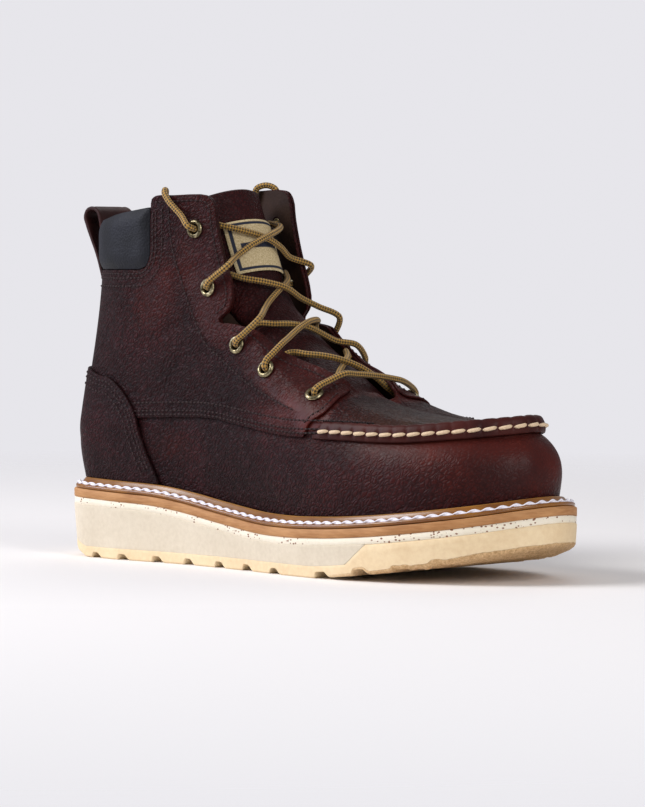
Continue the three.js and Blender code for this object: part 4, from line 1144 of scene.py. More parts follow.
# %% Stitch maker
def capsules(middles, ways, ups, length, radius, lift, sides=6, sections=7):
    """Points and faces of many stitches: middles, directions and surface normals."""
    middles, ways, ups = (np.asarray(a, float) for a in (middles, ways, ups))
    ways = unit(ways - ups * np.sum(ways * ups, -1, keepdims=True))
    across = np.cross(ways, ups)
    count = len(middles)
    u = np.linspace(-1, 1, sections)
    swell = radius * np.sqrt(np.clip(1 - 0.9 * u ** 4, 0, 1))
    arch = lift * (1 - u ** 2) - radius * 0.9 * u ** 4
    angles = np.arange(sides) * 2 * math.pi / sides
    points = (middles[:, None, None] + ways[:, None, None] * (u * length / 2)[None, :, None, None]
              + ups[:, None, None] * (arch[:, None] + swell[:, None] * np.sin(angles))[None, :, :, None]
              + across[:, None, None] * (swell[:, None] * np.cos(angles))[None, :, :, None])
    base = np.arange(count)[:, None] * sections * sides
    quads = np.array([(i * sides + k, (i + 1) * sides + k, (i + 1) * sides + (k + 1) % sides,
                       i * sides + (k + 1) % sides) for i in range(sections - 1) for k in range(sides)])
    faces = (base[:, :, None] + quads[None]).reshape(-1, 4).tolist()
    for cap in (list(range(sides)), [(sections - 1) * sides + k for k in range(sides)][::-1]):
        faces += (base + np.array(cap)[None]).tolist()
    return points.reshape(-1, 3), faces


def joined(parts):
    points, faces, start = [], [], 0
    for part_points, part_faces in parts:
        points.append(part_points)
        faces += [[f + start for f in face] for face in part_faces]
        start += len(part_points)
    return np.vstack(points), faces


# %% [markdown]
# ## The moccasin seam's thread
# Thick waxed thread comes out of one hole and goes into the next, nearly end to end and a
# little slanted, as hand sewing leaves it. It uses the same pitch as the lip's pinches, so
# that each stitch ends in one of them.

# %% Moccasin thread
middle_lengths = (np.arange(moc_count) + 1.0) * moc_pitch
middle_lengths = middle_lengths[middle_lengths < seam_length[-1] - 3]
moc_t = np.interp(middle_lengths, seam_length, fine_t)
moc_out = -inward(moc_t)
moc_height, moc_off, moc_slant = 3.3, 0.72, 0.10
moc_radius, moc_lift = 0.95, 0.7
moc_middle = seam_curve(moc_t) + moc_out * moc_off + np.array([0, 0, moc_height])
moc_along = seam_curve(moc_t + 0.02) - seam_curve(moc_t - 0.02)
moc_tilt = unit(moc_along) + np.array([0, 0, moc_slant])
stitches = capsules(moc_middle, moc_tilt, moc_out, moc_pitch * 0.92, moc_radius, moc_lift, 8, 9)
make_piece("moccasin_stitches", *stitches, [cream_thread], slot="upper_leather")

# %% [markdown]
# ## Sewing the panels
# Rows of fine thread run beside every cut edge, two or three together where there is strain.
# They could be drawn in the finish, but real small stitches catch the light from any side, and
# each needle hole is a near black sunk capsule, painted shade for its dark inside. A row is an offset of a
# pattern line, so it stays beside its edge.

# %% Panel stitches
stitch_lift = 0.12
hole_length, hole_radius, hole_sink = 1.2, 0.62, 0.28
thread_parts, hole_shade_parts = [], []


def sew(line, side, off, pitch=2.9, length=1.9, radius=0.48):
    """One row of small stitches along a line of the side view."""
    even = resample(line, 1.0)
    t, v = locate(even, side, 0.0 if off > 0.5 else 1.0)
    n = normal(t, v)
    flat = surface(t, v)
    height = counter_off(t, v) - 0.03 if off > 0.5 else off - crease_depth(flat[:, 0], flat[:, 2])
    here = flat + n * height[:, None]
    along = lengths_along(here)
    for store, shift in ((thread_parts, 0.0), (hole_shade_parts, pitch / 2)):
        where = np.arange(pitch / 2 + shift, along[-1], pitch)
        middle = at_lengths(where, along, here)
        ups = unit(at_lengths(where, along, n))
        way = at_lengths(where + 0.5, along, here) - at_lengths(where - 0.5, along, here)
        if store is thread_parts:
            store.append(capsules(middle, way, ups, length, radius, stitch_lift))
        else:
            store.append(capsules(middle, way, ups, hole_length, hole_radius, -hole_sink, 6, 3))


def beside(points, side, offset):
    """A line at an offset from a smooth line of the side view; above 0 to its right."""
    line = smooth_line(points, side, 2.0) if np.max(points) < 5 else resample(points, 2.0)
    way = np.gradient(line, axis=0)
    way = way / np.linalg.norm(way, axis=1, keepdims=True)
    return line + np.stack([way[:, 1], -way[:, 0]], 1) * offset


facing_seam = [(0.262, 0.975), (0.266, 0.90), (0.274, 0.842), (0.292, 0.764), (0.312, 0.694),
               (0.332, 0.635), (0.353, 0.593), (0.386, 0.560), (0.438, 0.509), (0.488, 0.474),
               (0.535, 0.447), (0.570, 0.430)]
seam_ring_t = np.linspace(2.6, 8.6, 16)
for side in (-1, 1):
    sew(beside(facing_seam, side, 0), side, 0.0)
    sew(beside(flap_edge[1:13], side, 3.2), side, 0.0)
    sew(beside(facing_edge, side, 3.2), side, 0.0)
    sew(beside(lobe_edge[:5], side, 2.6), side, 0.0)
    ring = surface(seam_ring_t if side < 0 else turn - seam_ring_t, 1.0)[:, [0, 2]]
    for offset in (2.4, 4.4, 8.6):
        sew(beside(ring, side, -offset), side, 0.0)
    front, low = along_x(pad_front_along), pad_low_up * shaft_height
    pad_line = [(-26, low), (-8, low), (front - 14, low), (front - 6, low + 0.8), (front - 1.5, low + 4.5),
                (front, low + 10), (front, low + 20), (front, low + 31)]
    for offset in (2.0, 4.2, 8.4):
        sew(beside(pad_line, side, offset), side, 0.0)
    for offset in (2.6, 5.0, 8.4):
        sew(beside(counter_edge[:10], side, offset), side, gap + counter_thickness)
make_piece("panel_stitches", *joined(thread_parts), [dark_thread], slot="upper_leather")
# Near black capsules between the stitches: painted shade for each needle hole.
make_piece("panel_needle_hole_shade", *joined(hole_shade_parts), [hole_shade_material], slot="upper_leather")

# %% [markdown]
# ## Tongue and its patch
# The tongue is a bowed sheet under plug and facings, sewn on at its foot. A subdivided plane
# could be bent to it, but the laces rest on it, so a function gives its form and their places.
# Its thickness fades to a rounded edge, and two soft folds cross it where the ankle bends. The
# patch on it is woven cloth with a plain border and band, laid over the same form.

# %% Tongue
ridge = curve_through(np.stack([along_x(tongue_rows["along"]), 0 * tongue_rows["up"],
                                tongue_rows["up"] * shaft_height], 1))
tongue_size = curve_through(np.stack([tongue_rows["half_width"], tongue_rows["drop"],
                                      0 * tongue_rows["drop"]], 1) * ball_half_width)
bow = math.radians(80)


def tongue_point(s, across, off=0.0):
    s, across, off = np.broadcast_arrays(*(np.asarray(a, float) for a in (s, across, off)))
    place = np.clip(s, 0, 1) * ridge.spans
    centre = ridge(place)
    along = unit(ridge(np.minimum(place + 1e-3, ridge.spans)) - ridge(np.maximum(place - 1e-3, 0)))
    out = np.stack([along[..., 2], 0 * along[..., 0], -along[..., 0]], -1)
    size = tongue_size(place)
    angle = across * bow
    y = (size[..., 0] + off) * np.sin(angle) / math.sin(bow)
    drop = size[..., 1] * (1 - np.cos(angle)) / (1 - math.cos(bow))
    point = centre + out * (off - drop)[..., None]
    point[..., 1] += y
    return point


def sheet_piece(name, s_values, across_values, thickness, base, edge_mm, material,
                paint=None, wave=None, with_place=False, **how):
    """A closed sheet over the tongue's form, thinned to a round edge."""
    S, A = np.meshgrid(s_values, across_values, indexing="ij")
    flat = tongue_point(S, A, base)
    rows, cols = S.shape

    def edge_distance(axis):
        step = np.linalg.norm(np.diff(flat, axis=axis), axis=-1)
        ahead = np.insert(np.cumsum(step, axis), 0, 0, axis)
        total = np.take(ahead, [-1], axis)
        return np.minimum(ahead, total - ahead)

    d = np.minimum(edge_distance(0), edge_distance(1))
    half = thickness / 2 * np.sqrt(np.clip(1 - (1 - np.clip(d / edge_mm, 0, 1)) ** 2, 0, 1))
    fold = wave(S, A) if wave else 0
    front = tongue_point(S, A, base - thickness / 2 + half + fold)
    rear = tongue_point(S, A, base - thickness / 2 - half + fold)
    points = np.vstack([front.reshape(-1, 3), rear.reshape(-1, 3)])
    index = np.arange(rows * cols).reshape(rows, cols)
    a, b, c, e = index[:-1, :-1], index[:-1, 1:], index[1:, 1:], index[1:, :-1]
    quads = np.stack([a, b, c, e], -1).reshape(-1, 4)
    loop = np.concatenate([index[0, :], index[1:, -1], index[-1, -2::-1], index[-2:0:-1, 0]])
    rear_loop, before = loop + rows * cols, np.roll(loop, 1)
    skirt = np.stack([loop, before, before + rows * cols, rear_loop], -1)
    faces = quads.tolist() + (quads[:, ::-1] + rows * cols).tolist() + skirt.tolist()
    values = {key: function(points) for key, function in (paint or {}).items()}
    if with_place:
        across = (A - across_values[0]) / (across_values[-1] - across_values[0]) * 2 - 1
        up = (S - s_values[0]) / (s_values[-1] - s_values[0]) * 2 - 1
        values["across"] = np.concatenate([across.reshape(-1)] * 2)
        values["up"] = np.concatenate([up.reshape(-1)] * 2)
    return make_piece(name, points, faces, [material], paint=values, **how)


def tongue_folds(s, across):
    folds = 0.5 * np.exp(-((s - 0.60) / 0.02) ** 2) + 0.45 * np.exp(-((s - 0.68) / 0.018) ** 2)
    return -folds * (1 - 0.5 * across ** 2)


sheet_piece("tongue_sheet", np.linspace(0, 1, 150), np.linspace(-1, 1, 60), tongue_thickness, 0.0, 1.6,
            tongue_leather, {"warmth": lambda p: 0.25 + 0 * p[:, 0]}, tongue_folds,
            replaces=["tongue"], slot="upper_leather")
patch_low, patch_high, patch_reach = 0.715, 0.885, 0.56
patch_seat = gap + 0.2
patch_thickness = 0.8
sheet_piece("tongue_label", np.linspace(patch_low, patch_high, 40),
            np.linspace(-patch_reach, patch_reach, 50), patch_thickness, patch_seat + patch_thickness, 0.5,
            patch_material, with_place=True, replaces=["tongue_patch"], slot="patch_cloth")

# %% [markdown]
# ## Pull loop
# One strap runs up the back seam and stands off behind the pad as a loop for a finger. A
# curve with a flat bevel would be stiff like a board, so this is a ribbon swept along its path,
# bowed over the heel at the bottom, flat at the top, with a low ridge along its folded edges.

# %% Pull loop
on_back = off_surface(np.zeros(5), np.linspace(1.255, 1.5, 5), np.full(5, gap + strap_thickness / 2))
loop_route = np.array([(-29.2, 0, 133), (-31.4, 0, 142), (-36.5, 0, 159), (-43.6, 0, 174), (-45.2, 0, 178.5),
                       (-43.4, 0, 182), (-39.5, 0, 183), (-35.4, 0, 181), (-33.2, 0, 175), (-32.2, 0, 168),
                       (-31.8, 0, 162)], float)
strap_path = resample(np.vstack([on_back[on_back[:, 2] < 127], loop_route]), 1.0)
strap_way = unit(np.gradient(strap_path, axis=0))
strap_out = np.stack([-strap_way[:, 2], 0 * strap_way[:, 0], strap_way[:, 0]], 1)
half_t, half_w, corner, rounding = strap_thickness / 2, strap_width / 2, 0.6, 0.15
flat_way = np.linspace(half_w - corner, -half_w + corner, 15)
across = np.concatenate([
    -flat_way, [half_w - rounding, half_w], [half_w, half_w - rounding],
    flat_way, [-half_w + rounding, -half_w], [-half_w, -half_w + rounding]])
one_edge = np.array([half_t - rounding, half_t - corner])
thick = np.concatenate([
    np.full(15, half_t), one_edge, -one_edge[::-1], np.full(15, -half_t), -one_edge, one_edge[::-1]])
ridge_lift = 0.28 * np.exp(-((np.abs(across) - half_w + 2.2) / 0.9) ** 2) * np.sign(thick)
bow_depth = np.interp(strap_path[:, 2], [100, 135, 165], [3.0, 2.2, 0.5])
rings = (strap_path[:, None] + strap_out[:, None] * (thick - ridge_lift * 0.6)[None, :, None]
         + np.array([0, 1, 0]) * across[None, :, None]
         + np.array([1, 0, 0]) * (bow_depth[:, None] * (across / half_w)[None] ** 2)[..., None])
faces = ring_faces(*rings.shape[:2], closed=False, capped=True)
make_piece("pull_strap", rings.reshape(-1, 3), faces, [strap_leather], replaces=["pull_loop"],
           slot="upper_leather")

# %% [markdown]
# ## Welt
# A strip with a flat foot, sewn to the midsole, and a lip that is pressed up against the
# upper. Its sloped face is slightly hollow and its top edge is rounded, with a painted highlight
# along it. It is one section carried round the sole's outline. The thread on it is a lockstitch,
# which looks like a rope of two plies, so it is a twisted section that dips at each needle hole.

# %% Welt and its lockstitch
ring_t = np.arange(0, turn, 1 / 20)
lip_inset = welt_reveal - lip_gap
welt_inner = welt_reveal + lining_wall + gap
welt_profile = [
    (welt_inner, 0), (1.3, 0), (1.0, 0.3), (0.9, 1.2), (1.1, 1.8), (1.6, 2.1), (3.0, 2.25), (3.6, 2.4),
    (4.3, 2.9), (5.0, 3.7), (5.6, 4.6), (6.0, 5.2), (6.4, 5.55), (6.9, 5.6), (7.3, 5.4), (lip_inset, 5.0),
    (lip_inset, 2.3), (welt_inner, 2.3),
]


def welt_ring(inset, up):
    ring = sole_point(ring_t, np.full(ring_t.shape, inset), platform_z)
    ring[:, 2] += gap + up
    return ring


# Share of the painted highlight along the welt's top edge: 1 on the profile's highest points.
def lip_highlight_share(points):
    shares = np.array([np.clip((up - 5.3) / 0.25, 0, 1) for _, up in welt_profile])
    return np.repeat(shares, len(ring_t))


rings_piece("welt_strip", [welt_ring(*p) for p in welt_profile], [welt_material], paint={"painted_lip_highlight": lip_highlight_share},
            replaces=["welt"], slot="welt_leather")
fine_ring = np.linspace(0, turn, 3000)
lock_way = sole_point(fine_ring, np.full(fine_ring.shape, 2.3), platform_z)
lock_way[:, 2] += gap + welt_flange - 0.05
lock_length = lengths_along(lock_way)
lock_pitch, lock_steps = 6.8, 12  # a stitch's length in millimetres and its rings of points
rope_count = int(lock_length[-1] / lock_pitch) * lock_steps
rope_places = np.arange(rope_count) * lock_length[-1] / rope_count
rope_turn = np.arange(rope_count) * math.pi / lock_steps  # half a turn of two plies for a stitch
rope_t = np.interp(rope_places, lock_length, fine_ring)
rope_middle = at_lengths(rope_places, lock_length, lock_way)
rope_out, rope_up = -inward(rope_t), np.array([0, 0, 1.0])
dip = np.abs(np.sin(rope_turn))  # the thread dives at the needle holes
rings = []
for angle in np.arange(14) * 2 * math.pi / 14:
    radius = (0.66 + 0.34 * np.cos(2 * (angle - rope_turn))) * (0.72 + 0.28 * dip)
    rings.append(rope_middle + rope_out * (radius * math.cos(angle) * 1.1)[:, None]
                 + rope_up * (radius * math.sin(angle) + 0.5 * dip)[:, None])
rings_piece("welt_lockstitch", rings, [white_thread], slot="welt_leather")

# %% [markdown]
# ## Midsole, speckled layer and insole
# The layers are cut from sheet rubber, cemented in a stack and ground together to one outline.
# Boxes with a bevel could not follow the boot's rise at the heel, so each is a slab between
# two height lines, with edges that are softened as a grinding wheel leaves them.

# %% Midsole, speckled layer and insole
def slab(name, low, high, inset, material, edge=0.35, **how):
    insets = (inset + 30, inset + edge, inset, inset, inset + edge, inset + 30)
    rings = []
    for k, extra in enumerate(insets):
        shift = (0, 0, edge, -edge, 0, 0)[k]
        height = low if k < 3 else high
        ring = sole_point(ring_t, np.full(ring_t.shape, min(extra, 22.0)), lambda x: height(x) + shift)
        rings.append(ring)
    rings_piece(name, rings, [material], capped=True, **how)


def midsole_low(x):
    return platform_z(x) - midsole_thickness


def speckled_low(x):
    return midsole_low(x) - gap - speckled_thickness


slab("midsole_slab", midsole_low, platform_z, 0.0, midsole_material,
     replaces=["midsole"], slot="midsole_rubber")
slab("speckled_slab", speckled_low, lambda x: midsole_low(x) - 0.05, 0.25, speck_material, 0.3,
     replaces=["speckled_layer"], slot="speckled_rubber")
slab("insole_board", lambda x: platform_z(x) + gap, lambda x: platform_z(x) + gap + insole_thickness,
     welt_inner + 0.4, insole_material, 1.2, replaces=["insole"], slot="insole_fabric")

print("the insole lies", round(welt_inner + 0.4, 1), "mm in from the sole's edge")

# %% [markdown]
# ## Wedge
# The wedge is a block of foamed rubber that fills the heel's height and meets the tread in a
# slanted joint under the ball of the foot. Its wall is ground with a soft bevel. It could be a
# box with a bevel modifier, but its joint is a slanted cut, so it is a panel like the leather:
# a grid of the wall that is clipped along the joint and closed well inside.

# %% Wedge
joint_low, joint_high = along_x(0.722), along_x(0.762)


def share_of(t):
    return np.clip((edge_curve(t)[..., 0] + heel_origin) / sole_length, 0, 1)


def wall_inset(t, z, x):
    """Inset of the sole's wall at a height: tucked in below, at the edge above."""
    inset, rise = bevel_inset(share_of(t)), bevel_rise(share_of(t))
    tuck = 0.35 * inset * (1 - 0.85 * np.clip((share_of(t) - 0.8) / 0.15, 0, 1))
    base, top = tread_z(x), speckled_low(x) - gap
    low = np.clip((z - base) / rise, 0, 1)
    high_part = np.clip((z - base - rise) / np.maximum(top - base - rise, 1), 0, 1)
    rounded = 1 - np.sqrt(np.clip(1 - (1 - low) ** 2, 0, 1))
    return tuck * (1 - high_part) + (inset - tuck) * rounded


def wedge_point(t, w, deeper=0.0):
    x = edge_curve(t)[..., 0]
    low, top = tread_z(x) + tread_thickness, speckled_low(x) - 0.05
    z = low + (top - low) * w
    return sole_point(t, wall_inset(t, z, x) + deeper, z)


def wedge_keep(t, w):
    point = wedge_point(t, w)
    base = tread_z(point[..., 0]) + tread_thickness
    top = speckled_low(point[..., 0])
    climb = np.clip((point[..., 2] - base) / np.maximum(top - base, 1), 0, 1)
    ends = np.minimum(w, 1 - w) * np.maximum(top - base, 1) + 0.4
    return np.minimum((joint_low + (joint_high - joint_low) * climb - point[..., 0]) * 0.8, ends)


wedge_t = np.concatenate([np.arange(0, 9.2, 1 / 20), np.arange(turn - 9.2, turn, 1 / 20)])
wedge_t = np.sort((wedge_t + 12) % turn - 12)


def wedge_facing(t, w):
    return -inward(t)


panel("wedge_block", wedge_t, np.linspace(0, 1, 16), wedge_keep, wedge_point,
      lambda t, w: wedge_point(t, w, 14.0), wedge_facing, [wedge_material], radius=0.3,
      replaces=["wedge"], slot="wedge_rubber")

# %% [markdown]
# ## Tread
# The grooves cross the underside and bend forward in the middle. Cutting each with a boolean
# would leave hard edges, where moulded rubber has one steep and one easy wall. So a function of
# the place gives their height, and rings of points climb from the middle of the underside up
# the wall. Towards the toe the moulded skin is torn and sandy: seeded noise on the same rings.

# %% Tread
# Share at the side, share in the middle, length, depth
grooves = [
    (0.035, 0.045, 4.6, 2.4), (0.104, 0.09, 6.0, 3.0), (0.170, 0.176, 6.4, 3.0), (0.248, 0.25, 6.4, 3.2),
    (0.322, 0.324, 6.4, 3.2), (0.402, 0.398, 6.6, 3.2), (0.475, 0.472, 6.6, 3.2), (0.550, 0.546, 6.6, 3.0),
    (0.668, 0.64, 8.4, 3.0), (0.748, 0.714, 8.4, 2.8), (0.822, 0.788, 9.0, 1.4), (0.880, 0.862, 6.0, 1.2),
]


def groove(x, y):
    """Height of the tread's grooves: a steep wall to the heel, a rounded one to the toe."""
    centre_way = np.clip(1 - np.abs(y) / 42, 0, 1)
    height = np.zeros_like(x)
    for side_share, middle_share, length, depth in grooves:
        middle = along_x(side_share) + (along_x(middle_share) + 6 - along_x(side_share)) * centre_way
        d = x - middle
        steep = np.clip((d + length * 0.5 + 0.6) / 1.2, 0, 1)
        easy = np.clip((length * 0.5 + 2.4 - d) / 4.6, 0, 1)
        rise = steep * steep * (3 - 2 * steep) * easy * easy * (3 - 2 * easy)
        height = np.maximum(height, depth * rise)
    return height


tread_t = np.arange(0, turn, 1 / 40)
tread_x = edge_curve(tread_t)[:, 0]
climb = np.clip((tread_x - joint_low) / (joint_high - joint_low), 0, 1)
tread_top = tread_z(tread_x) + tread_thickness - gap * 0.5
tread_top = tread_top + (speckled_low(tread_x) - 0.05 - tread_top) * climb
edge_y = edge_curve(tread_t)[:, 1]
notch = groove(tread_x, edge_y)
torn = np.random.default_rng(7)
rough = np.convolve(torn.normal(0, 1, len(tread_t) + 8), np.ones(5) / 5, "same")[4:-4]
under_steps = (0.97, 0.9, 0.75, 0.6, 0.45, 0.3, 0.2, 0.12, 0.06, 0.0)  # middle to edge
bevel_steps, wall_steps = (0.1, 0.35, 0.65, 0.9, 1.0), (0.15, 0.4, 0.7, 0.97, 1.0)  # upwards
tread_rings = []
for deep in under_steps:
    inset = bevel_inset(share_of(tread_t)) + deep * 38 * np.clip(np.abs(edge_y) / 40, 0.5, 1.2)
    ring = sole_point(tread_t, inset, tread_z)
    ring[:, 2] = tread_z(ring[:, 0]) + groove(ring[:, 0], ring[:, 1])
    grit = np.convolve(torn.normal(0, 1, len(tread_t)), np.ones(3) / 3, "same")
    torn_edge = 0.6 * rough if deep < 0.1 else 0
    ring[:, 2] += 0.55 * np.clip((ring[:, 0] - 175) / 30, 0, 1) * (np.abs(grit) + torn_edge)
    tread_rings.append(ring)
bevel_share = bevel_rise(share_of(tread_t)) / (tread_top - tread_z(tread_x))
ragged = 0.35 * np.clip((share_of(tread_t) - 0.72) / 0.1, 0, 1) * rough
for step, rise in enumerate(bevel_steps + wall_steps):
    low = tread_z(tread_x) + notch
    on_bevel = step < len(bevel_steps)
    share = bevel_share * rise if on_bevel else bevel_share + (1 - bevel_share) * rise
    z = low + (tread_top - low) * share + (ragged if step < 6 else 0)
    ring = sole_point(tread_t, wall_inset(tread_t, z, tread_x) + (0.25 if step == 9 else 0), z)
    tread_rings.append(ring)
tread_rings.append(sole_point(tread_t, np.full(tread_t.shape, 20.0), tread_top))


def under_share(points):
    """The sandy share: the underside and the bevel's first four rings, from the ball forward."""
    shares = np.zeros(len(points))
    low = points[:(len(under_steps) + 4) * len(tread_t)]
    shares[:len(low)] = np.clip((low[:, 0] - 165) / 40, 0, 1)
    return shares


rings_piece("tread_block", tread_rings, [tread_material], capped=True, paint={"under": under_share},
            replaces=["outsole"], slot="tread_rubber")

# %% [markdown]
# ## Eyelets
# Each is a brass barrel whose rim is rolled over the leather's face. A torus would do for the
# rim alone, but the barrel shows inside the hole, so the whole profile is spun about its axis
# and stood on the surface's own normal.

# %% Eyelets
rim_seat = gap + 0.25
eyelet_profile = resample([
    (2.5, -3.2), (2.5, -1.2), (2.55, 0.6), (2.75, 1.25), (3.2, 1.6), (3.75, 1.6), (4.3, 1.3), (4.7, 0.8),
    (4.78, 0.4), (4.5, 0.15), (3.6, 0.1), (3.05, 0.0), (3.0, -1.4), (3.0, -3.2), (2.75, -3.35), (2.52, -3.25),
], 0, 40)
spin = np.linspace(0, 2 * math.pi, 37)[:-1]
parts = []
for centre, n in eyelets.values():
    side_way = unit(np.cross(n, [0, 0, 1.0]))
    up_way = np.cross(side_way, n)
    spokes = side_way * np.cos(spin)[:, None] + up_way * np.sin(spin)[:, None]
    rings = centre + n * eyelet_profile[:, 1][:, None, None] + spokes * eyelet_profile[:, 0][:, None, None]
    faces = [face[::-1] for face in ring_faces(*rings.shape[:2])]
    parts.append((rings.reshape(-1, 3), faces))
make_piece("eyelet_rims", *joined(parts), [eyelet_material],
           replaces=[f"eyelet_{side}_{row}" for side, row in eyelets], slot="eyelet_brass")

# %% [markdown]
# ## Lace
# One lace runs through all ten eyelets: out of one eyelet's face, over the facing, across the
# tongue, under the other facing and out through the next eyelet from behind. A physics run
# would lay it down, but not in a chosen lacing. So its points come from the eyelets and the
# tongue, a pass is straight unless something lifts it, and the braid is drawn from the lace's
# length and angle. Both ends are tucked over the flaps into the shaft.

# %% Lace route
eyelet_steps = [0.905, 0.73, 0.55, 0.42, 0.235]
corner_lift, rest_lift = 1.7, 0.4
patch_lift = patch_seat + patch_thickness + rest_lift + gap
on_top = 2 * lace_radius * 0.85
edge_lines = {side: resample(np.vstack([to_side(flap_edge, side), to_side(facing_edge, side)]), 0.8)
              for side in (-1, 1)}


def edge_crossing(side, start, other):
    """Where the shortest way to the other side's eyelet crosses the facing's edge."""
    line = edge_lines[side]
    away = np.linalg.norm(line - start, axis=1)
    nearest = line[np.argmin(away)]
    share = away.min() / (2 * away.min() + 50)
    wanted = nearest + (other - start) * share
    k = int(np.clip(np.argmin(np.linalg.norm(line - wanted, axis=1)), 2, len(line) - 3))
    way = line[k + 2] - line[k - 2]
    return line[k], np.array([-way[1], 0, way[0]])


def over_facing(side, row, target):
    centre, n = eyelets["outer" if side < 0 else "inner", row]
    start = centre[[0, 2]]
    place, way = edge_crossing(side, start + (np.array([8.0, 0.0]) if row == 3 else 0), target)
    t, v = locate([(start + place) / 2, place], side)
    spots, facing = surface(t, v), normal(t, v)
    lift = lace_radius + gap
    along = unit(spots[0] - centre)
    return [
        centre - n * 5.2 - along * 0.4, centre - n * 1.0, centre + n * 2.3 + along * 0.9,
        centre + n * (lift + 1.3) + along * 4.4, spots[0] + facing[0] * (lift + rim_seat + 0.4),
        spots[1] + facing[1] * corner_lift + unit(way) * (corner_lift + (3.2 if row == 3 else 0)),
    ]


def under_facing(side, row, lift):
    centre, n = eyelets["outer" if side < 0 else "inner", row]
    step = eyelet_steps[row - 1]
    return [centre - n * 5.2, tongue_point(step, side * 0.84, lace_radius + 1.6 + lift)]


def strand(outer, inner, lift, top):
    """A pass is a straight line between its ends unless the tongue or another pass lifts it."""
    (outer_row, outer_over), (inner_row, inner_over) = outer, inner
    first, second = eyelet_steps[outer_row - 1], eyelet_steps[inner_row - 1]
    on_outer, on_inner = eyelets["outer", outer_row][0][[0, 2]], eyelets["inner", inner_row][0][[0, 2]]
    begin = over_facing(-1, outer_row, on_inner) if outer_over else under_facing(-1, outer_row, 0)
    end = (over_facing(1, inner_row, on_outer) if inner_over else under_facing(1, inner_row, 0))[::-1]
    between_ends = []
    for u in (0.2, 0.35, 0.5, 0.65, 0.8):
        straight = begin[-1] + (end[0] - begin[-1]) * u
        across = (-0.6 if outer_over else -0.84) * (1 - u) + (0.6 if inner_over else 0.84) * u
        s = first + (second - first) * (across + 0.8) / 1.6
        rest = tongue_point(s, across, gap + lace_radius + lift)
        out = unit(rest - tongue_point(s, across, 0.0))
        below_rest = max(0.0, -float(np.dot(straight - rest, out)))
        between_ends.append(straight + out * (below_rest + top * 4 * u * (1 - u)))
    return begin + between_ends + end


# %% [markdown]
# ## Passes and braid
# The lacing order was read from the picture, pass by pass, with which end comes out over its
# facing. The braid could be two sets of wound tubes, but they would take a million faces. One
# tube with a low relief of diamonds and a two-colour finish looks the same at this size.

# %% Passes and braid
# In the lace's own order from the outer top eyelet: outer eyelet, inner eyelet, rest lift, how
# far it rides on an earlier pass, and whether it runs from the outer side to the inner one
passes = [
    ((1, False), (2, True), patch_lift, 0.0, True), ((3, True), (2, False), rest_lift, 0.0, False),
    ((3, False), (4, True), rest_lift, 0.0, True), ((5, False), (4, False), rest_lift, 0.0, False),
    ((5, True), (5, True), rest_lift + 4.0, 1.0, True), ((4, False), (5, False), rest_lift, on_top, False),
    ((4, True), (3, False), rest_lift, on_top, True), ((2, False), (3, True), rest_lift, on_top, False),
    ((2, True), (1, False), patch_lift, on_top, True),
]


def braided_tube(name, route, spacing=0.5, sides=16, **how):
    path = resample(route, spacing)
    way = unit(np.gradient(path, axis=0))
    side_way = np.zeros_like(way)
    side_way[0] = unit(np.cross(way[0], [0.3, 0.2, 1.0]))
    for i in range(1, len(way)):
        carried = side_way[i - 1] - way[i] * np.dot(side_way[i - 1], way[i])
        side_way[i] = carried / np.linalg.norm(carried)
    up_way = np.cross(way, side_way)
    length = lengths_along(path)
    angle = np.arange(sides + 1) / sides
    helices = (np.sin(2 * math.pi * (length[:, None] / braid_pitch + yarns * angle))
               * np.sin(2 * math.pi * (length[:, None] / braid_pitch - yarns * angle)))
    radius = lace_radius * (0.97 + 0.04 * np.abs(helices))
    radius[[0, -1]] *= 0.75
    turned = 2 * math.pi * angle
    points = (path[:, None] + side_way[:, None] * (radius * np.cos(turned))[..., None]
              + up_way[:, None] * (radius * np.sin(turned))[..., None])
    size = sides + 1
    quads = [(i * size + k, i * size + k + 1, (i + 1) * size + k + 1, (i + 1) * size + k)
             for i in range(len(path) - 1) for k in range(sides)]
    quads += [list(range(sides))[::-1], [(len(path) - 1) * size + k for k in range(sides)]]
    paint = {"along": np.repeat(length, size), "round": np.tile(angle, len(path))}
    piece = make_piece(name, points.reshape(-1, 3), quads, [lace_material], paint=paint,
                       slot="lace_braid", **how)
    return piece, path, length[-1]


lace_route = []
for outer, inner, lift, top, outward in passes:
    points = strand(outer, inner, lift, top)
    lace_route += points if outward else points[::-1]
outer_top, inner_top = eyelets["outer", 1], eyelets["inner", 1]
lace_route = ([outer_top[0] + outer_top[1] * 1.6, outer_top[0] - outer_top[1] * 1.6] + lace_route
              + [inner_top[0] - inner_top[1] * 1.6, inner_top[0] + inner_top[1] * 1.6])
lace_length = braided_tube(
    "lace_through_eyelets", lace_route,
    replaces=["lace_cross_1", "lace_cross_2", "lace_cross_3", "lace_cross_4", "lace_bar"])[2]
print("lace through the eyelets:", round(lace_length), "mm")
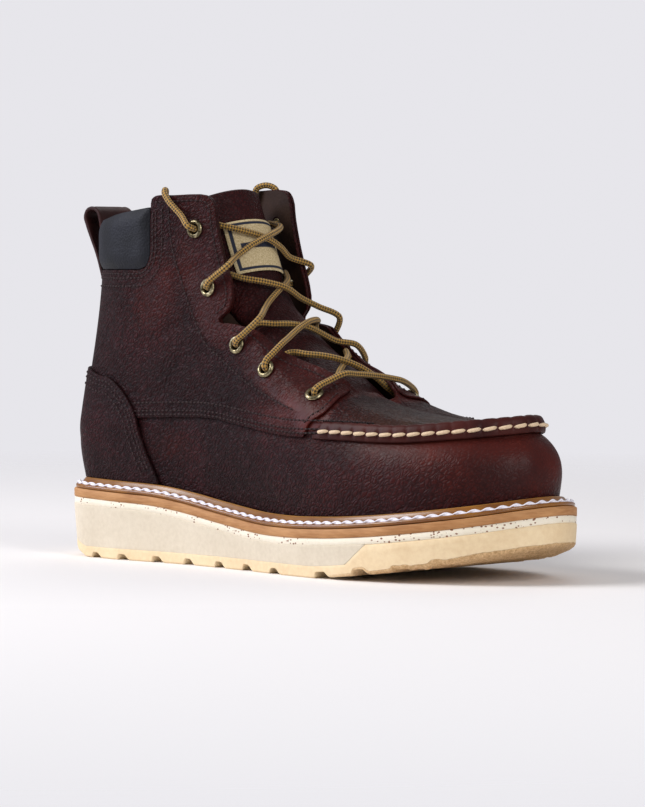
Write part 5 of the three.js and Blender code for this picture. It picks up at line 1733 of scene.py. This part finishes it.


# %% [markdown]
# ## Lace ends
# Each end goes up from the top eyelet, over the flap's edge and down inside the shaft. It
# hangs free, so it is a tube of its own with its own length, and its route follows the
# flap, a half circle round its edge, and the lining.

# %% Lace ends
def tucked_end(side, over_x, inside_x, depth):
    """From the top eyelet along the flap, round its top edge and down inside the shaft."""
    centre, n = eyelets["outer" if side < 0 else "inner", 1]
    line = smooth_line(flap_edge[:9], side, 1.0)
    top = np.interp(over_x, line[:, 0], line[:, 1])
    start = centre[[0, 2]]
    shares = np.array([0.38, 0.6, 0.8])[:, None]
    t, v = locate(start + (np.array([over_x, top]) - start) * shares, side)
    on_face = surface(t, v) + normal(t, v) * (lace_radius + 0.5)
    t, v = locate([(over_x, top - 0.3)], side)
    edge, facing = surface(t, v)[0], normal(t, v)[0]
    half_wall = 1.65
    middle = edge - facing * half_wall
    reach = half_wall + lace_radius - 0.3
    up = unit(np.array([0, 0, 1.0]) - facing * facing[2])
    drift = np.array([(inside_x - over_x) / 2.5, 0, 0])
    angles = [math.radians(a) for a in (20, 55, 90, 125, 160)]
    arch = [middle + facing * reach * math.cos(a) + up * reach * math.sin(a) + drift * k / 4
            for k, a in enumerate(angles)]
    ends = [(over_x + (inside_x - over_x) * (0.4 + 0.6 * u), top - depth * u) for u in (0.3, 0.65, 1.0)]
    t, v = locate(ends, side)
    inside = surface(t, v) - normal(t, v) * (2 * half_wall + lace_radius + 0.5)
    along = unit(on_face[0] - centre)
    begin = [centre + n * 1.2 + along * 0.3, centre + n * (lace_radius + 2.2) + along * 2.2]
    return np.array(begin + list(on_face) + arch + list(inside))


for name, route in (("lateral", tucked_end(-1, 40, 29, 22)), ("medial", tucked_end(1, 52, 33, 27))):
    end, end_path, end_length = braided_tube(f"lace_tail_{name}", route, replaces=[f"lace_end_{name}"])
    print(f"lace end {name}:", round(end_length), "mm")

# %% [markdown]
# ## Floor
# A studio floor is a painted board or a paper roll with no edge in sight. A curved backdrop
# would do, but a flat floor that fades into the pale surroundings is simpler and catches the
# same soft shadow.

# %% Floor
floor_mesh = bpy.data.meshes.new("floor")
floor_mesh.from_pydata([(-3, -3, 0), (3, -3, 0), (3, 3, 0), (-3, 3, 0)], [], [(0, 1, 2, 3)])
floor = bpy.data.objects.new("floor", floor_mesh)
scene.collection.objects.link(floor)
floor_material, add, shader = new_material("painted_studio_floor", "#f2efee", 0.8)
away = add("VectorMath", [object_place(add)], "Value", operation="LENGTH")
feed(shader, {"Alpha": add("MapRange", [away, 0.3, 1.1, 1.0, 0.0])})
floor_mesh.materials.append(floor_material)

print("floor fades out between 0.3 and 1.1 m from the boot")

# %% [markdown]
# ## Lights
# The studio has white walls: an even pale world, one large soft light from above left, a weaker
# one from the right for the toe, a cool panel from the left and a faint wash from behind. The
# surroundings could be a photographed sky, but plain areas keep the shine on leather calm. The
# world is seen brighter than it lights, so that the shadows under the sole stay readable.

# %% Lights
world = bpy.data.worlds.new("studio")
scene.world = world
world.use_nodes = True
seen = add_node(world.node_tree, "LightPath", out="Is Camera Ray")
brightness = add_node(world.node_tree, "MapRange", [seen, 0.0, 1.0, 0.40, 0.97])
feed(world.node_tree.nodes["Background"], {"Color": "#eae9ee", "Strength": brightness})


def area_light(name, place, aim, size, power, colour="#ffffff"):
    data = bpy.data.lights.new(name, "AREA")
    data.shape = "RECTANGLE"
    data.size, data.size_y = size
    data.energy = power
    data.color = linear(colour)[:3]
    light = bpy.data.objects.new(name, data)
    light.location = place
    to_aim = np.array(aim) - np.array(place)
    yaw = math.atan2(to_aim[1], to_aim[0]) - math.pi / 2
    pitch = math.atan2(to_aim[2], math.hypot(to_aim[0], to_aim[1]))
    light.rotation_euler = (math.pi / 2 + pitch, 0, yaw)
    scene.collection.objects.link(light)


area_light("key", (-0.8, -1.1, 1.4), (0.1, 0, 0.08), (1.0, 0.8), 28)
area_light("toe_side", (1.7, -0.4, 0.8), (0.15, 0, 0.08), (0.6, 0.8), 12)
area_light("left_panel", (-1.5, -1.2, 0.7), (0.05, 0, 0.1), (0.8, 0.8), 15, "#e4e9ff")
area_light("back_wash", (-0.6, 1.4, 1.5), (0.1, 0, 0.1), (1.0, 1.0), 4)
scene.view_settings.view_transform = "Standard"
print("lights:", len(bpy.data.lights))
